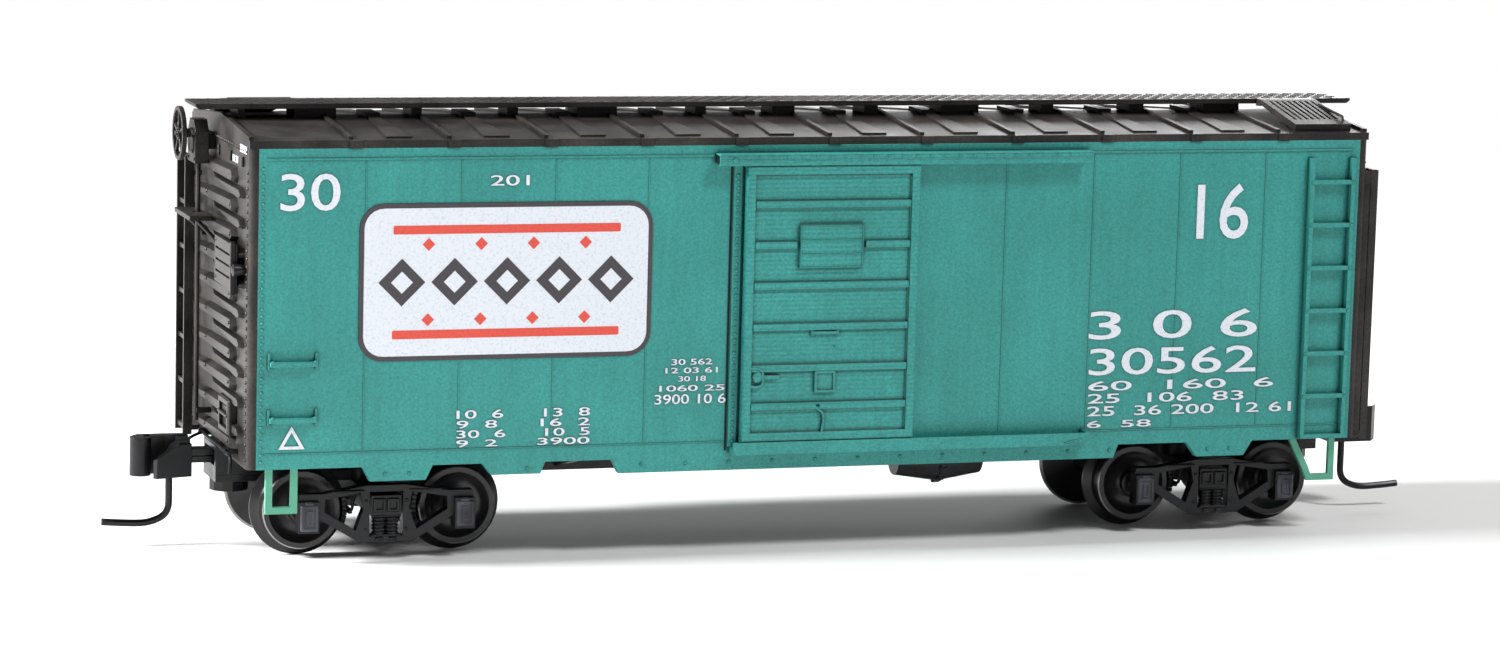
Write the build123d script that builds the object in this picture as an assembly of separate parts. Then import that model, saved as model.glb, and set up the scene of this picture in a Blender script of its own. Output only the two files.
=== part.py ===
from build123d import *
import os
from collections import namedtuple

# A 1:160 model of a forty-foot steel boxcar with one sliding door a side, running on 9 mm gauge.
# Lengths are millimetres. X runs along the car, Y across it and Z up.
# The origin is on the floor under the middle of the car, where the wheel flanges stand.
# End a is at -X and carries the hand brake, end b is at +X. The near side faces -Y, the far side +Y.
# Almost every piece is drawn at end b or on the near side, and its twin is turned half round about Z.

# Body shell
SIDE_Y = 9.25
SIDE_HALF = 38.40
SIDE_LOW = 6.60
SIDE_TOP = 27.30
WALL = 0.90
END_STEP = 0.60
END_CORNER_RADIUS = 0.45
FLOOR_LOW = 7.20
FLOOR_THICK = 0.80
COUPLER_NOTCH_HALF = 4.40

END_FACE = SIDE_HALF + END_STEP
FLOOR_TOP = FLOOR_LOW + FLOOR_THICK
INNER_Y = SIDE_Y - WALL
INNER_X = END_FACE - WALL

# Roof
EAVE_RISE = 0.50
RIDGE_RISE = 0.70
ROOF_CROWN = 0.60
ROOF_PANELS = 12
SEAM_CAP_WIDTH = 0.30
SEAM_CAP_HEIGHT = 0.20
SEAM_CAP_INSET = 0.35
SEAM_LUG_WIDTH = 0.85
SEAM_LUG_PROUD = 0.12
BAND_RIDGE_HALF = 0.35
BAND_EAVE_HALF = 0.85
BAND_START = 1.00
BAND_INSET = 0.65
BAND_PROUD = 0.12
HUMP_HALF_WIDTH = 0.50
HUMP_HALF_DEPTH = 1.30
HUMP_RISE = 0.22

EAVE_TOP = SIDE_TOP + EAVE_RISE
RIDGE_TOP = EAVE_TOP + RIDGE_RISE
ROOF_SLOPE = RIDGE_RISE / SIDE_Y
ROOF_PITCH = (2 * END_FACE - SEAM_CAP_WIDTH) / ROOF_PANELS

# Running board and corner platforms
BOARD_OVERHANG = 2.00
BOARD_HALF_WIDTH = 1.80
BOARD_CLEARANCE = 0.57
BOARD_THICK = 0.35
BOARD_CHAMFER = 0.25
POST_HALF_DEPTH = 1.20
PLATFORM_END_INSET = 1.00
PLATFORM_LENGTH = 4.15
PLATFORM_INNER = 2.50
PLATFORM_OUTER = 8.40
PLATFORM_FOOT = 0.50
PLATFORM_EDGE = 0.45
PLATFORM_BARS = 8
PLATFORM_BAR_SHARE = 0.58
PLATFORM_SLOT_INNER = 2.90
PLATFORM_SLOT_OUTER = 7.30

BOARD_HALF_LENGTH = END_FACE + BOARD_OVERHANG
BOARD_LOW = RIDGE_TOP + BOARD_CLEARANCE
BOARD_TOP = BOARD_LOW + BOARD_THICK

# Wheels and axles
TREAD_RADIUS = 2.62
FLANGE_HEIGHT = 0.58
FLANGE_WIDTH = 0.45
FLANGE_BEVEL = 0.15
WHEEL_WIDTH = 1.70
BACK_TO_BACK = 7.60
RIM_DEPTH = 0.45
HUB_BOSS_RADIUS = 0.85
HUB_BOSS_PROUD = 0.10
WHEEL_DISH = 0.45
AXLE_RADIUS = 0.75
STUB_RADIUS = 0.40
STUB_POINT_LENGTH = 0.45
BEARING_GAP = 0.05
TURNED_SIDES = 12

RAIL_TOP = FLANGE_HEIGHT
AXLE_Z = RAIL_TOP + TREAD_RADIUS
WHEEL_BACK = BACK_TO_BACK / 2
WHEEL_FACE = WHEEL_BACK + WHEEL_WIDTH

# Trucks
TRUCK_INSET = 9.10
WHEELBASE = 10.42
FRAME_INNER = 6.55
FRAME_THICK = 0.80
JOURNAL_PROUD = 0.40
JOURNAL_WIDTH = 1.35
JOURNAL_LOW = -1.15
JOURNAL_TOP = 0.90
BOLSTER_HALF_WIDTH = 1.00
BOLSTER_LOW = -0.20
BOLSTER_TOP = 1.15
CENTRE_PLATE_RADIUS = 1.90
CENTRE_PLATE_TOP = 1.95
PIN_RADIUS = 0.80
PIN_HEAD_RADIUS = 1.35
PIN_HEAD_THICK = 0.45
PIN_GAP = 0.08
SEAT_GAP = 0.05
SPRING_RADIUS = 0.39
SPRING_SPACING = 0.84
SPRING_SIDES = 8

TRUCK_X = SIDE_HALF - TRUCK_INSET
FRAME_OUTER = FRAME_INNER + FRAME_THICK
JOURNAL_FACE = FRAME_OUTER + JOURNAL_PROUD
BOSS_LOW = AXLE_Z + CENTRE_PLATE_TOP + SEAT_GAP

# Coupler pockets, each on a tongue of its truck frame
TONGUE_HALF_WIDTH = 1.60
TONGUE_LOW = 4.35
TONGUE_TOP = 5.05
POCKET_INSET = 3.30
POCKET_LENGTH = 3.80
POCKET_HALF_WIDTH = 1.95
POCKET_LOW = 4.55
POCKET_BOSS_LOW = 3.76
POCKET_BOSS_RADIUS = 1.30
POCKET_WALL = 0.45
LID_THICK = 0.33
EYE_RADIUS = 0.90
EYE_CLEARANCE = 0.10

POCKET_BACK = END_FACE - POCKET_INSET
POCKET_FRONT = POCKET_BACK + POCKET_LENGTH

# Couplers
COUPLER_Z = 6.10
COUPLER_POST_RADIUS = 0.40
EYE_PLAY = 0.12
SHANK_HALF_WIDTH = 0.60
SHANK_HEIGHT = 0.90
COUPLER_GAP = 0.06
HEAD_STAND_OFF = 1.40
HEAD_LENGTH = 3.90
HEAD_LOW = 4.83
HEAD_TOP = 7.36
GUARD_DROP = 0.36
GUARD_TIP_TOP = 5.98
KNUCKLE_NOSE_RADIUS = 0.70
TRIP_PIN_RADIUS = 0.25
TRIP_PIN_SIDES = 8
TRIP_PIN_U = 1.15
TRIP_PIN_V = 0.75
TRIP_PIN_DROP = 3.60
TRIP_PIN_LOW = 1.50
TRIP_PIN_REACH = 5.60
TRIP_PIN_TIP_RISE = 0.15

COUPLER_PIVOT_X = POCKET_BACK + POCKET_WALL + EYE_CLEARANCE + EYE_RADIUS
HEAD_BACK = POCKET_FRONT + HEAD_STAND_OFF

# Doors and their tracks
DOOR_HALF = 6.00
DOOR_LOW = 7.75
DOOR_TOP = 25.75
DOOR_THICK = 0.60
DOOR_STAND_OFF = 0.12
DOOR_LAP = 0.60
DOOR_FRAME = 0.55
DOOR_RIB_WIDTH = 0.45
DOOR_RIB_PROUD = 0.22
PLACARD_THICK = 0.30
TRACK_GROOVE_GAP = 0.12
TRACK_LIP_THICK = 0.20
TRACK_LIP = 0.35
UPPER_TRACK_LEFT = 2.00
UPPER_TRACK_RIGHT = 12.30
UPPER_TRACK_LOW = 26.02
UPPER_TRACK_TOP = 26.80
LOWER_TRACK_LEFT = 0.60
LOWER_TRACK_RIGHT = 12.70
LOWER_TRACK_LOW = 6.80
LOWER_TRACK_TOP = 7.30
POST_GAP = 0.20
POST_WIDTH = 0.55
POST_PROUD = 0.30

DOOR_INNER = SIDE_Y + DOOR_STAND_OFF
DOOR_OUTER = DOOR_INNER + DOOR_THICK
DOOR_PROUD = DOOR_OUTER + DOOR_RIB_PROUD
TRACK_LIP_IN = DOOR_OUTER + TRACK_GROOVE_GAP
TRACK_FACE = TRACK_LIP_IN + TRACK_LIP_THICK
UPPER_TRACK_X0 = -DOOR_HALF - UPPER_TRACK_LEFT
UPPER_TRACK_X1 = DOOR_HALF + UPPER_TRACK_RIGHT
LOWER_TRACK_X0 = -DOOR_HALF - LOWER_TRACK_LEFT
LOWER_TRACK_X1 = DOOR_HALF + LOWER_TRACK_RIGHT

# Underframe, ballast and air brake gear
SILL_HALF_WIDTH = 1.20
SILL_LOW = 4.55
SILL_TRUCK_CLEARANCE = 3.90
BODY_BOSS_RADIUS = 2.00
CROSSBEARER_THICK = 0.50
CROSSBEARER_RISE = 0.30
CROSSBEARER_TIP_LOW = 6.60
BALLAST_INSET = 4.40
BALLAST_MARGIN = 0.75
BALLAST_THICK = 1.00
CYLINDER_X = -12.60
CYLINDER_Y = -4.60
CYLINDER_Z = 6.10
CYLINDER_RADIUS = 0.95
CYLINDER_LENGTH = 3.20
CYLINDER_FLANGE_RADIUS = 1.08
CYLINDER_FLANGE_THICK = 0.40
CYLINDER_NOSE_RADIUS = 0.50
CYLINDER_NOSE_LENGTH = 0.80
RESERVOIR_X = 9.45
RESERVOIR_Y = -5.50
RESERVOIR_Z = 5.45
RESERVOIR_HALF_LENGTH = 3.05
RESERVOIR_END_RADIUS = 1.15
RESERVOIR_RADIUS = 1.60
RESERVOIR_FLANGE_RADIUS = 1.72
RESERVOIR_FLANGE_THICK = 0.30
VALVE_X = -0.30
VALVE_Y = -4.80
VALVE_HALF_LENGTH = 1.30
VALVE_HALF_WIDTH = 0.80
VALVE_LOW = 5.30
VALVE_PORT_RADIUS = 0.50
VALVE_PORT_LENGTH = 0.70
STRAP = 0.50

# Ladders, irons and steps
BAR = 0.30
LADDER_STAND_OFF = 0.55
SIDE_LADDER_INSET = 0.65
SIDE_LADDER_WIDTH = 3.05
SIDE_LADDER_LOW = 6.70
SIDE_LADDER_TOP = 26.10
SIDE_RUNG_LOW = 9.66
RUNG_PITCH = 2.96
SIDE_RUNGS = 6
GRAB_INSET = 0.80
GRAB_LENGTH = 3.05
GRAB_LOW = 9.83
GRAB_RISE = 3.64
END_LADDER_INSET = 0.50
END_LADDER_WIDTH = 2.55
END_LADDER_LOW = 6.40
END_LADDER_TOP = 25.15
END_LADDER_GAP = 0.50
END_LADDER_DEPTH = 0.60
END_STILE_THICK = 0.25
END_RUNG_LOW = 6.70
END_RUNG_PITCH = 3.03
END_RUNGS = 7
END_FOOT_LOW = 6.70
END_FOOT_TOP = 23.90
STEP_THICK = 0.45
STEP_INSET = 0.50
STEP_LOW = 3.85
STEP_TREAD = 1.65
STEP_A_INSET = 0.95
STEP_B_INSET = 1.00
STEP_B_SPREAD = 1.05
STEP_B_RISE = 0.72

LADDER_FACE = SIDE_Y + LADDER_STAND_OFF

# Pressed ribs of the end sheets
RIB_PITCH = 1.93
RIB_PROUD = 0.45
DART_PROUD = 0.38
RIB_DRAW_IN = 0.22
DART_DRAW_IN = 0.10
RIB_FIRST_Z = 7.31
RIBS = 10

# Placard boards on the end sheets
PLACARD_BOARD_INNER = 2.30
PLACARD_BOARD_OUTER = 7.90
PLACARD_BOARD_LOW = 18.00
PLACARD_BOARD_HEIGHT = 3.00
PLACARD_BOARD_THICK = 0.32
PLACARD_SLATS = 4
PLACARD_GROOVE = 0.14

# Hand brake at end a
BRAKE_Y = 2.40
BRAKE_WHEEL_RADIUS = 1.78
BRAKE_WHEEL_RIM = 0.26
BRAKE_WHEEL_SIDES = 20
BRAKE_WHEEL_Z = 27.10
BRAKE_WHEEL_STAND_OFF = 2.05
BRAKE_HUB_RADIUS = 0.42
BRAKE_SPOKES = 5
BRAKE_SPOKE_WIDTH = 0.20
BRAKE_CASE_FACE = 1.40
BRAKE_CASE_BACK = 0.50
BRAKE_CASE_HALF = 1.20
BRAKE_CASE_LOW = 25.20
BRAKE_CASE_SHOULDER = 27.30
BRAKE_CASE_TOP = 28.05
BRAKE_BRACKET_HALF = 0.70
BRAKE_BRACKET_LOW = 26.10
BRAKE_BRACKET_TOP = 27.10
BRAKE_SHAFT_RADIUS = 0.30
BRAKE_ROD_X = 0.95
BRAKE_ROD_RADIUS = 0.16
BRAKE_ROD_LOW = 8.00
BRAKE_ROD_GUIDE_Z = 8.50
DECK_LOW = 21.60
DECK_THICK = 0.30
DECK_Y0 = -0.20
DECK_Y1 = 4.90
DECK_BACK = 0.50
DECK_FRONT = 2.00
DECK_BRACE_INSET = 0.50
DECK_BRACE_DROP = 1.35
DECK_BRACE_REACH = 1.60
DECK_BRACE_RADIUS = 0.14


def block(x0, x1, y0, y1, z0, z1):
    """A straight box between two corners."""
    centre = Pos((x0 + x1) / 2, (y0 + y1) / 2, (z0 + z1) / 2)
    return centre * Box(x1 - x0, y1 - y0, z1 - z0)


def rod(start, end, radius, sides=0):
    """A bar from one point to another, round or with a number of flat sides."""
    path = Vector(*end) - Vector(*start)
    plane = Plane(origin=start, z_dir=path)
    section = RegularPolygon(radius, sides) if sides else Circle(radius)
    return extrude(plane * section, amount=path.length)


def outline_xz(points, y0, y1):
    """A closed outline of (x, z) points, made solid from y0 to y1."""
    face = make_face(Polyline(*[(x, y0, z) for x, z in points], close=True))
    return extrude(face, amount=y1 - y0, dir=(0, 1, 0))


def outline_yz(points, x0, x1):
    """A closed outline of (y, z) points, made solid from x0 to x1."""
    face = make_face(Polyline(*[(x0, y, z) for y, z in points], close=True))
    return extrude(face, amount=x1 - x0, dir=(1, 0, 0))


def outline_xy(points, z0, z1):
    """A closed outline of (x, y) points, made solid from z0 to z1."""
    face = make_face(Polyline(*[(x, y, z0) for x, y in points], close=True))
    return extrude(face, amount=z1 - z0, dir=(0, 0, 1))


def half_turn(piece):
    """The same piece at the other end and on the other side of the car."""
    return Rot(0, 0, 180) * piece


def joined(pieces):
    """The pieces as one."""
    return Part() + list(pieces)


# Sides: one sheet with its doorway, its sill tabs and the post that the door closes on
# Along the car the tabs are shares of SIDE_HALF, their drop is a share of TAB_DROP
SillTab = namedtuple("SillTab", "start end taper_start taper_end drop")
SILL_TABS = (
    SillTab(-0.817, -0.696, 0.48, 0.45, 0.95),
    SillTab(-0.610, -0.499, 0.62, 0.32, 0.77),
    SillTab(-0.380, 0.554, 0.43, 0.33, 0.92),
    SillTab(0.685, 0.813, 0.78, 0.63, 1.00),
)
TAB_DROP = 1.00
TAB_THICK = 0.60


def car_side():
    sheet = block(-SIDE_HALF, SIDE_HALF, -SIDE_Y, -INNER_Y, SIDE_LOW, SIDE_TOP)
    doorway_half = DOOR_HALF - DOOR_LAP
    sheet -= block(-doorway_half, doorway_half, -SIDE_Y, -INNER_Y, FLOOR_TOP, DOOR_TOP - DOOR_LAP)
    for tab in SILL_TABS:
        x0, x1 = tab.start * SIDE_HALF, tab.end * SIDE_HALF
        low = SIDE_LOW - tab.drop * TAB_DROP
        points = [(x0, SIDE_LOW), (x1, SIDE_LOW), (x1 - tab.taper_end, low), (x0 + tab.taper_start, low)]
        sheet += outline_xz(points, -SIDE_Y, -SIDE_Y + TAB_THICK)
    post_x1 = -DOOR_HALF - POST_GAP
    post_face = SIDE_Y + POST_PROUD
    sheet += block(post_x1 - POST_WIDTH, post_x1, -post_face, -SIDE_Y, LOWER_TRACK_TOP, UPPER_TRACK_LOW)
    return sheet


# Ends: a sheet with rounded corners, stepped in between the sides, with pressed ribs
# A rib's foot on the sheet, with heights above the main rib's lower edge
RibPoint = namedtuple("RibPoint", "y z")
MAIN_RIB_FOOT = (
    RibPoint(-7.00, 0.30),
    RibPoint(-6.80, 0.00),
    RibPoint(5.60, 0.00),
    RibPoint(6.15, 0.50),
    RibPoint(5.50, 1.08),
    RibPoint(-2.00, 0.92),
    RibPoint(-6.70, 0.62),
)
DART_FOOT = (
    RibPoint(-2.00, -0.08),
    RibPoint(2.00, -0.42),
    RibPoint(7.20, -0.80),
    RibPoint(8.00, -0.70),
    RibPoint(8.20, -0.40),
    RibPoint(7.60, -0.07),
)


def pressed_rib(foot, proud, draw_in, edge_z):
    """One pressed rib: its walls slope in from its foot on the end sheet to the narrower crest."""
    sheet = Plane(origin=(END_FACE, 0, edge_z), x_dir=(0, 1, 0), z_dir=(1, 0, 0))
    outline = make_face(Polyline(*[(p.y, p.z) for p in foot], close=True))
    crest = offset(outline, amount=-draw_in, kind=Kind.INTERSECTION)
    return loft([sheet * outline, sheet.offset(proud) * crest], ruled=True)


def car_end():
    outer = block(SIDE_HALF, END_FACE, -SIDE_Y, SIDE_Y, SIDE_LOW, SIDE_TOP)
    corners = outer.edges().filter_by(Axis.Z).group_by(Axis.X)[-1]
    outer = fillet(corners, END_CORNER_RADIUS)
    inner = block(INNER_X, SIDE_HALF, -INNER_Y, INNER_Y, FLOOR_TOP, SIDE_TOP)
    notch = block(SIDE_HALF, END_FACE, -COUPLER_NOTCH_HALF, COUPLER_NOTCH_HALF, SIDE_LOW, FLOOR_LOW)
    edges = [RIB_FIRST_Z + i * RIB_PITCH for i in range(RIBS)]
    ribs = [pressed_rib(MAIN_RIB_FOOT, RIB_PROUD, RIB_DRAW_IN, z) for z in edges]
    darts = [pressed_rib(DART_FOOT, DART_PROUD, DART_DRAW_IN, z) for z in edges[1:]]
    return outer - notch + inner + joined(ribs + darts)


# Roof: a shallow gable with a cap over each seam and a raised band in the middle of each panel
def roof_z(y):
    """The height of the plain roof at a distance from the middle."""
    return RIDGE_TOP - ROOF_SLOPE * abs(y)


def seam_x(number):
    """Where the seam cap of this number starts."""
    return -END_FACE + number * ROOF_PITCH


def roof_band(x):
    """The raised band of one panel, on the near slope. It widens towards the eave."""
    slope = Plane(origin=(x, 0, RIDGE_TOP), x_dir=(1, 0, 0), z_dir=(0, -ROOF_SLOPE, 1))
    end = SIDE_Y - BAND_INSET
    points = [
        (-BAND_RIDGE_HALF, -BAND_START),
        (-BAND_EAVE_HALF, -end),
        (BAND_EAVE_HALF, -end),
        (BAND_RIDGE_HALF, -BAND_START),
    ]
    face = make_face(Polyline(*points, close=True))
    return extrude(slope * face, amount=BAND_PROUD)


def roof():
    outer = [(-SIDE_Y, SIDE_TOP), (SIDE_Y, SIDE_TOP), (SIDE_Y, EAVE_TOP), (0, RIDGE_TOP), (-SIDE_Y, EAVE_TOP)]
    hollow = [(-INNER_Y, SIDE_TOP), (INNER_Y, SIDE_TOP), (0, RIDGE_TOP - ROOF_CROWN)]
    shell = outline_yz(outer, -END_FACE, END_FACE) - outline_yz(hollow, -INNER_X, INNER_X)
    end = SIDE_Y - SEAM_CAP_INSET
    cap = [
        (-end, roof_z(end)),
        (-end, roof_z(end) + SEAM_CAP_HEIGHT),
        (0, RIDGE_TOP + SEAM_CAP_HEIGHT),
        (end, roof_z(end) + SEAM_CAP_HEIGHT),
        (end, roof_z(end)),
        (0, RIDGE_TOP),
    ]
    for i in range(ROOF_PANELS + 1):
        shell += outline_yz(cap, seam_x(i), seam_x(i) + SEAM_CAP_WIDTH)
    for i in range(1, ROOF_PANELS):
        x0 = seam_x(i)
        face = SIDE_Y + SEAM_LUG_PROUD
        lug = block(x0, x0 + SEAM_LUG_WIDTH, -face, -SIDE_Y, SIDE_TOP, EAVE_TOP)
        shell += joined([lug, half_turn(lug)])
    for i in range(1, ROOF_PANELS - 1):
        x = seam_x(i) + (ROOF_PITCH + SEAM_CAP_WIDTH) / 2
        hump = block(
            x - HUMP_HALF_WIDTH,
            x + HUMP_HALF_WIDTH,
            -HUMP_HALF_DEPTH,
            HUMP_HALF_DEPTH,
            roof_z(HUMP_HALF_DEPTH),
            RIDGE_TOP + HUMP_RISE,
        )
        shell += joined([roof_band(x), half_turn(roof_band(-x)), hump])
    return shell


# The posts that carry the running board, as shares of SIDE_HALF along the car
BoardPost = namedtuple("BoardPost", "start end")
BOARD_POSTS = (
    BoardPost(-0.895, -0.822),
    BoardPost(-0.690, -0.672),
    BoardPost(-0.520, -0.501),
    BoardPost(-0.395, -0.323),
    BoardPost(-0.180, -0.161),
    BoardPost(-0.039, 0.003),
    BoardPost(0.133, 0.158),
    BoardPost(0.278, 0.349),
    BoardPost(0.469, 0.492),
    BoardPost(0.640, 0.667),
    BoardPost(0.784, 0.854),
)


def running_board():
    """The walkway along the ridge, with chamfered ends, on its posts and two end brackets."""
    half = BOARD_HALF_LENGTH
    points = [
        (-half, BOARD_TOP),
        (half, BOARD_TOP),
        (half, BOARD_TOP - BOARD_THICK / 2),
        (half - BOARD_CHAMFER, BOARD_LOW),
        (-half + BOARD_CHAMFER, BOARD_LOW),
        (-half, BOARD_TOP - BOARD_THICK / 2),
    ]
    board = outline_xz(points, -BOARD_HALF_WIDTH, BOARD_HALF_WIDTH)
    spans = [(post.start * SIDE_HALF, post.end * SIDE_HALF) for post in BOARD_POSTS]
    spans += [(-INNER_X, -INNER_X + STRAP), (INNER_X - STRAP, INNER_X)]
    depth = POST_HALF_DEPTH
    cap = SEAM_CAP_HEIGHT
    post = [
        (-depth, BOARD_LOW),
        (-depth, roof_z(depth)),
        (0, RIDGE_TOP),
        (depth, roof_z(depth)),
        (depth, BOARD_LOW),
    ]
    for x0, x1 in spans:
        board += outline_yz(post, x0, x1)
    for i in range(ROOF_PANELS + 1):
        x0 = seam_x(i)
        clear = [(-depth, roof_z(depth)), (-depth, roof_z(depth) + cap), (0, RIDGE_TOP + cap)]
        clear += [(depth, roof_z(depth) + cap), (depth, roof_z(depth)), (0, RIDGE_TOP)]
        board -= outline_yz(clear, x0, x0 + SEAM_CAP_WIDTH)
    return board


def corner_platform():
    """The grated step beside the running board, sloping down to the eave."""
    x1 = END_FACE - PLATFORM_END_INSET
    x0 = x1 - PLATFORM_LENGTH
    foot = PLATFORM_OUTER - PLATFORM_FOOT
    outer_top = roof_z(PLATFORM_OUTER) + PLATFORM_EDGE
    points = [
        (-BOARD_HALF_WIDTH, BOARD_TOP),
        (-PLATFORM_INNER, BOARD_TOP),
        (-PLATFORM_OUTER, outer_top),
        (-PLATFORM_OUTER, roof_z(PLATFORM_OUTER)),
        (-foot, roof_z(foot)),
        (-PLATFORM_INNER, BOARD_LOW),
        (-BOARD_HALF_WIDTH, BOARD_LOW),
    ]
    plate = outline_yz(points, x0, x1)
    pitch = (PLATFORM_LENGTH - 2 * BAR) / PLATFORM_BARS
    slot = pitch * (1 - PLATFORM_BAR_SHARE)
    for i in range(PLATFORM_BARS):
        start = x0 + BAR + i * pitch + (pitch - slot) / 2
        plate -= block(start, start + slot, -PLATFORM_SLOT_OUTER, -PLATFORM_SLOT_INNER, EAVE_TOP, BOARD_TOP)
    return plate


# Doors and tracks
def upper_track():
    x0, x1 = UPPER_TRACK_X0, UPPER_TRACK_X1
    top = block(x0, x1, -TRACK_FACE, -SIDE_Y, UPPER_TRACK_LOW + TRACK_LIP, UPPER_TRACK_TOP)
    lip = block(x0, x1, -TRACK_FACE, -TRACK_LIP_IN, UPPER_TRACK_LOW, UPPER_TRACK_TOP)
    return top + lip


def lower_track():
    x0, x1 = LOWER_TRACK_X0, LOWER_TRACK_X1
    base = block(x0, x1, -TRACK_FACE, -SIDE_Y, LOWER_TRACK_LOW, LOWER_TRACK_TOP)
    lip = block(x0, x1, -TRACK_FACE, -TRACK_LIP_IN, LOWER_TRACK_LOW, LOWER_TRACK_TOP + TRACK_LIP)
    stop = block(x1 - BAR, x1, -TRACK_FACE, -SIDE_Y, LOWER_TRACK_LOW, DOOR_LOW)
    return base + lip + stop


# The ribs of a door: ends as shares of its half width, height as a share of its height
DoorRib = namedtuple("DoorRib", "start end rise")
DOOR_RIBS = (
    DoorRib(-0.90, 0.90, 0.125),
    DoorRib(-0.90, 0.90, 0.267),
    DoorRib(-0.90, 0.90, 0.419),
    DoorRib(-0.90, 0.90, 0.572),
    DoorRib(-0.90, -0.417, 0.722),
    DoorRib(0.383, 0.90, 0.722),
    DoorRib(-0.90, 0.90, 0.872),
)
PLACARD_START = -0.383
PLACARD_END = 0.350
PLACARD_LOW_SHARE = 0.636
PLACARD_TOP_SHARE = 0.797


def door_z(share):
    """A height on the door as a share of its height."""
    return DOOR_LOW + share * (DOOR_TOP - DOOR_LOW)


def door():
    tongue_low = LOWER_TRACK_TOP + SEAT_GAP
    tongue_top = UPPER_TRACK_LOW + TRACK_LIP - SEAT_GAP
    leaf = block(-DOOR_HALF, DOOR_HALF, -DOOR_OUTER, -DOOR_INNER, tongue_low, tongue_top)
    low = LOWER_TRACK_TOP + TRACK_LIP + SEAT_GAP
    top = UPPER_TRACK_LOW - SEAT_GAP
    for x0 in (-DOOR_HALF, DOOR_HALF - DOOR_FRAME):
        leaf += block(x0, x0 + DOOR_FRAME, -DOOR_PROUD, -DOOR_OUTER, low, top)
    for z0 in (low, top - DOOR_FRAME):
        leaf += block(-DOOR_HALF, DOOR_HALF, -DOOR_PROUD, -DOOR_OUTER, z0, z0 + DOOR_FRAME)
    for rib in DOOR_RIBS:
        x0, x1 = rib.start * DOOR_HALF, rib.end * DOOR_HALF
        z0 = door_z(rib.rise) - DOOR_RIB_WIDTH / 2
        leaf += block(x0, x1, -DOOR_PROUD, -DOOR_OUTER, z0, z0 + DOOR_RIB_WIDTH)
    x0, x1 = PLACARD_START * DOOR_HALF, PLACARD_END * DOOR_HALF
    face = DOOR_OUTER + PLACARD_THICK
    leaf += block(x0, x1, -face, -DOOR_OUTER, door_z(PLACARD_LOW_SHARE), door_z(PLACARD_TOP_SHARE))
    return leaf


# Underframe: the centre sill, the two bosses that the trucks turn on and the crossbearers, one moulding
# The crossbearers stand at shares of SIDE_HALF along the car
CROSSBEARERS = (-0.417, -0.143, 0.143, 0.417)


def underframe():
    sill = block(-TRUCK_X, TRUCK_X, -SILL_HALF_WIDTH, SILL_HALF_WIDTH, SILL_LOW, FLOOR_LOW)
    cut_low, cut_top = SILL_LOW - SEAT_GAP, BOSS_LOW
    for x in (-TRUCK_X, TRUCK_X):
        x0, x1 = x - SILL_TRUCK_CLEARANCE, x + SILL_TRUCK_CLEARANCE
        sill -= block(x0, x1, -SILL_HALF_WIDTH, SILL_HALF_WIDTH, cut_low, cut_top)
        sill += rod((x, 0, BOSS_LOW), (x, 0, FLOOR_LOW), BODY_BOSS_RADIUS)
    flange_low = SILL_LOW + CROSSBEARER_RISE
    points = [
        (-INNER_Y, FLOOR_LOW),
        (-INNER_Y, CROSSBEARER_TIP_LOW),
        (-SILL_HALF_WIDTH, flange_low),
        (SILL_HALF_WIDTH, flange_low),
        (INNER_Y, CROSSBEARER_TIP_LOW),
        (INNER_Y, FLOOR_LOW),
    ]
    for share in CROSSBEARERS:
        x = share * SIDE_HALF
        sill += outline_yz(points, x - CROSSBEARER_THICK / 2, x + CROSSBEARER_THICK / 2)
    for x in (-TRUCK_X, TRUCK_X):
        sill -= rod((x, 0, BOSS_LOW), (x, 0, FLOOR_LOW), PIN_RADIUS)
    return sill


def floor():
    return block(-SIDE_HALF, SIDE_HALF, -INNER_Y, INNER_Y, FLOOR_LOW, FLOOR_TOP)


def ballast_plate():
    x1 = SIDE_HALF - BALLAST_INSET
    y1 = INNER_Y - BALLAST_MARGIN
    return block(-x1, x1, -y1, y1, FLOOR_TOP, FLOOR_TOP + BALLAST_THICK)


def brake_cylinder():
    """A horizontal cylinder with its head flange and a bracket up to the floor."""
    y, z = CYLINDER_Y, CYLINDER_Z
    head = CYLINDER_X + CYLINDER_LENGTH
    nose = head + CYLINDER_FLANGE_THICK
    pieces = [
        rod((CYLINDER_X, y, z), (head, y, z), CYLINDER_RADIUS, TURNED_SIDES),
        rod((head, y, z), (nose, y, z), CYLINDER_FLANGE_RADIUS, TURNED_SIDES),
        rod((nose, y, z), (nose + CYLINDER_NOSE_LENGTH, y, z), CYLINDER_NOSE_RADIUS, TURNED_SIDES),
        block(CYLINDER_X + STRAP, head - STRAP, y - BAR, y + BAR, z, FLOOR_LOW),
    ]
    return joined(pieces)


def air_reservoir():
    """The two-chamber tank: two tapered halves on one flange, hung from the floor by two straps."""
    sides = 2 * TURNED_SIDES
    flange = RESERVOIR_FLANGE_THICK / 2
    tank = rod((-flange, 0, 0), (flange, 0, 0), RESERVOIR_FLANGE_RADIUS, sides)
    for side in (-1, 1):
        root = Plane(origin=(side * flange, 0, 0), z_dir=(1, 0, 0)) * RegularPolygon(RESERVOIR_RADIUS, sides)
        end = Plane(origin=(side * RESERVOIR_HALF_LENGTH, 0, 0), z_dir=(1, 0, 0))
        tank += loft([root, end * RegularPolygon(RESERVOIR_END_RADIUS, sides)], ruled=True)
    tank = Pos(RESERVOIR_X, RESERVOIR_Y, RESERVOIR_Z) * tank
    y0, y1 = RESERVOIR_Y - BAR, RESERVOIR_Y + BAR
    for offset in (-RESERVOIR_HALF_LENGTH / 2, RESERVOIR_HALF_LENGTH / 2):
        x = RESERVOIR_X + offset
        tank += block(x - STRAP / 2, x + STRAP / 2, y0, y1, RESERVOIR_Z, FLOOR_LOW)
    return tank


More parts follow.
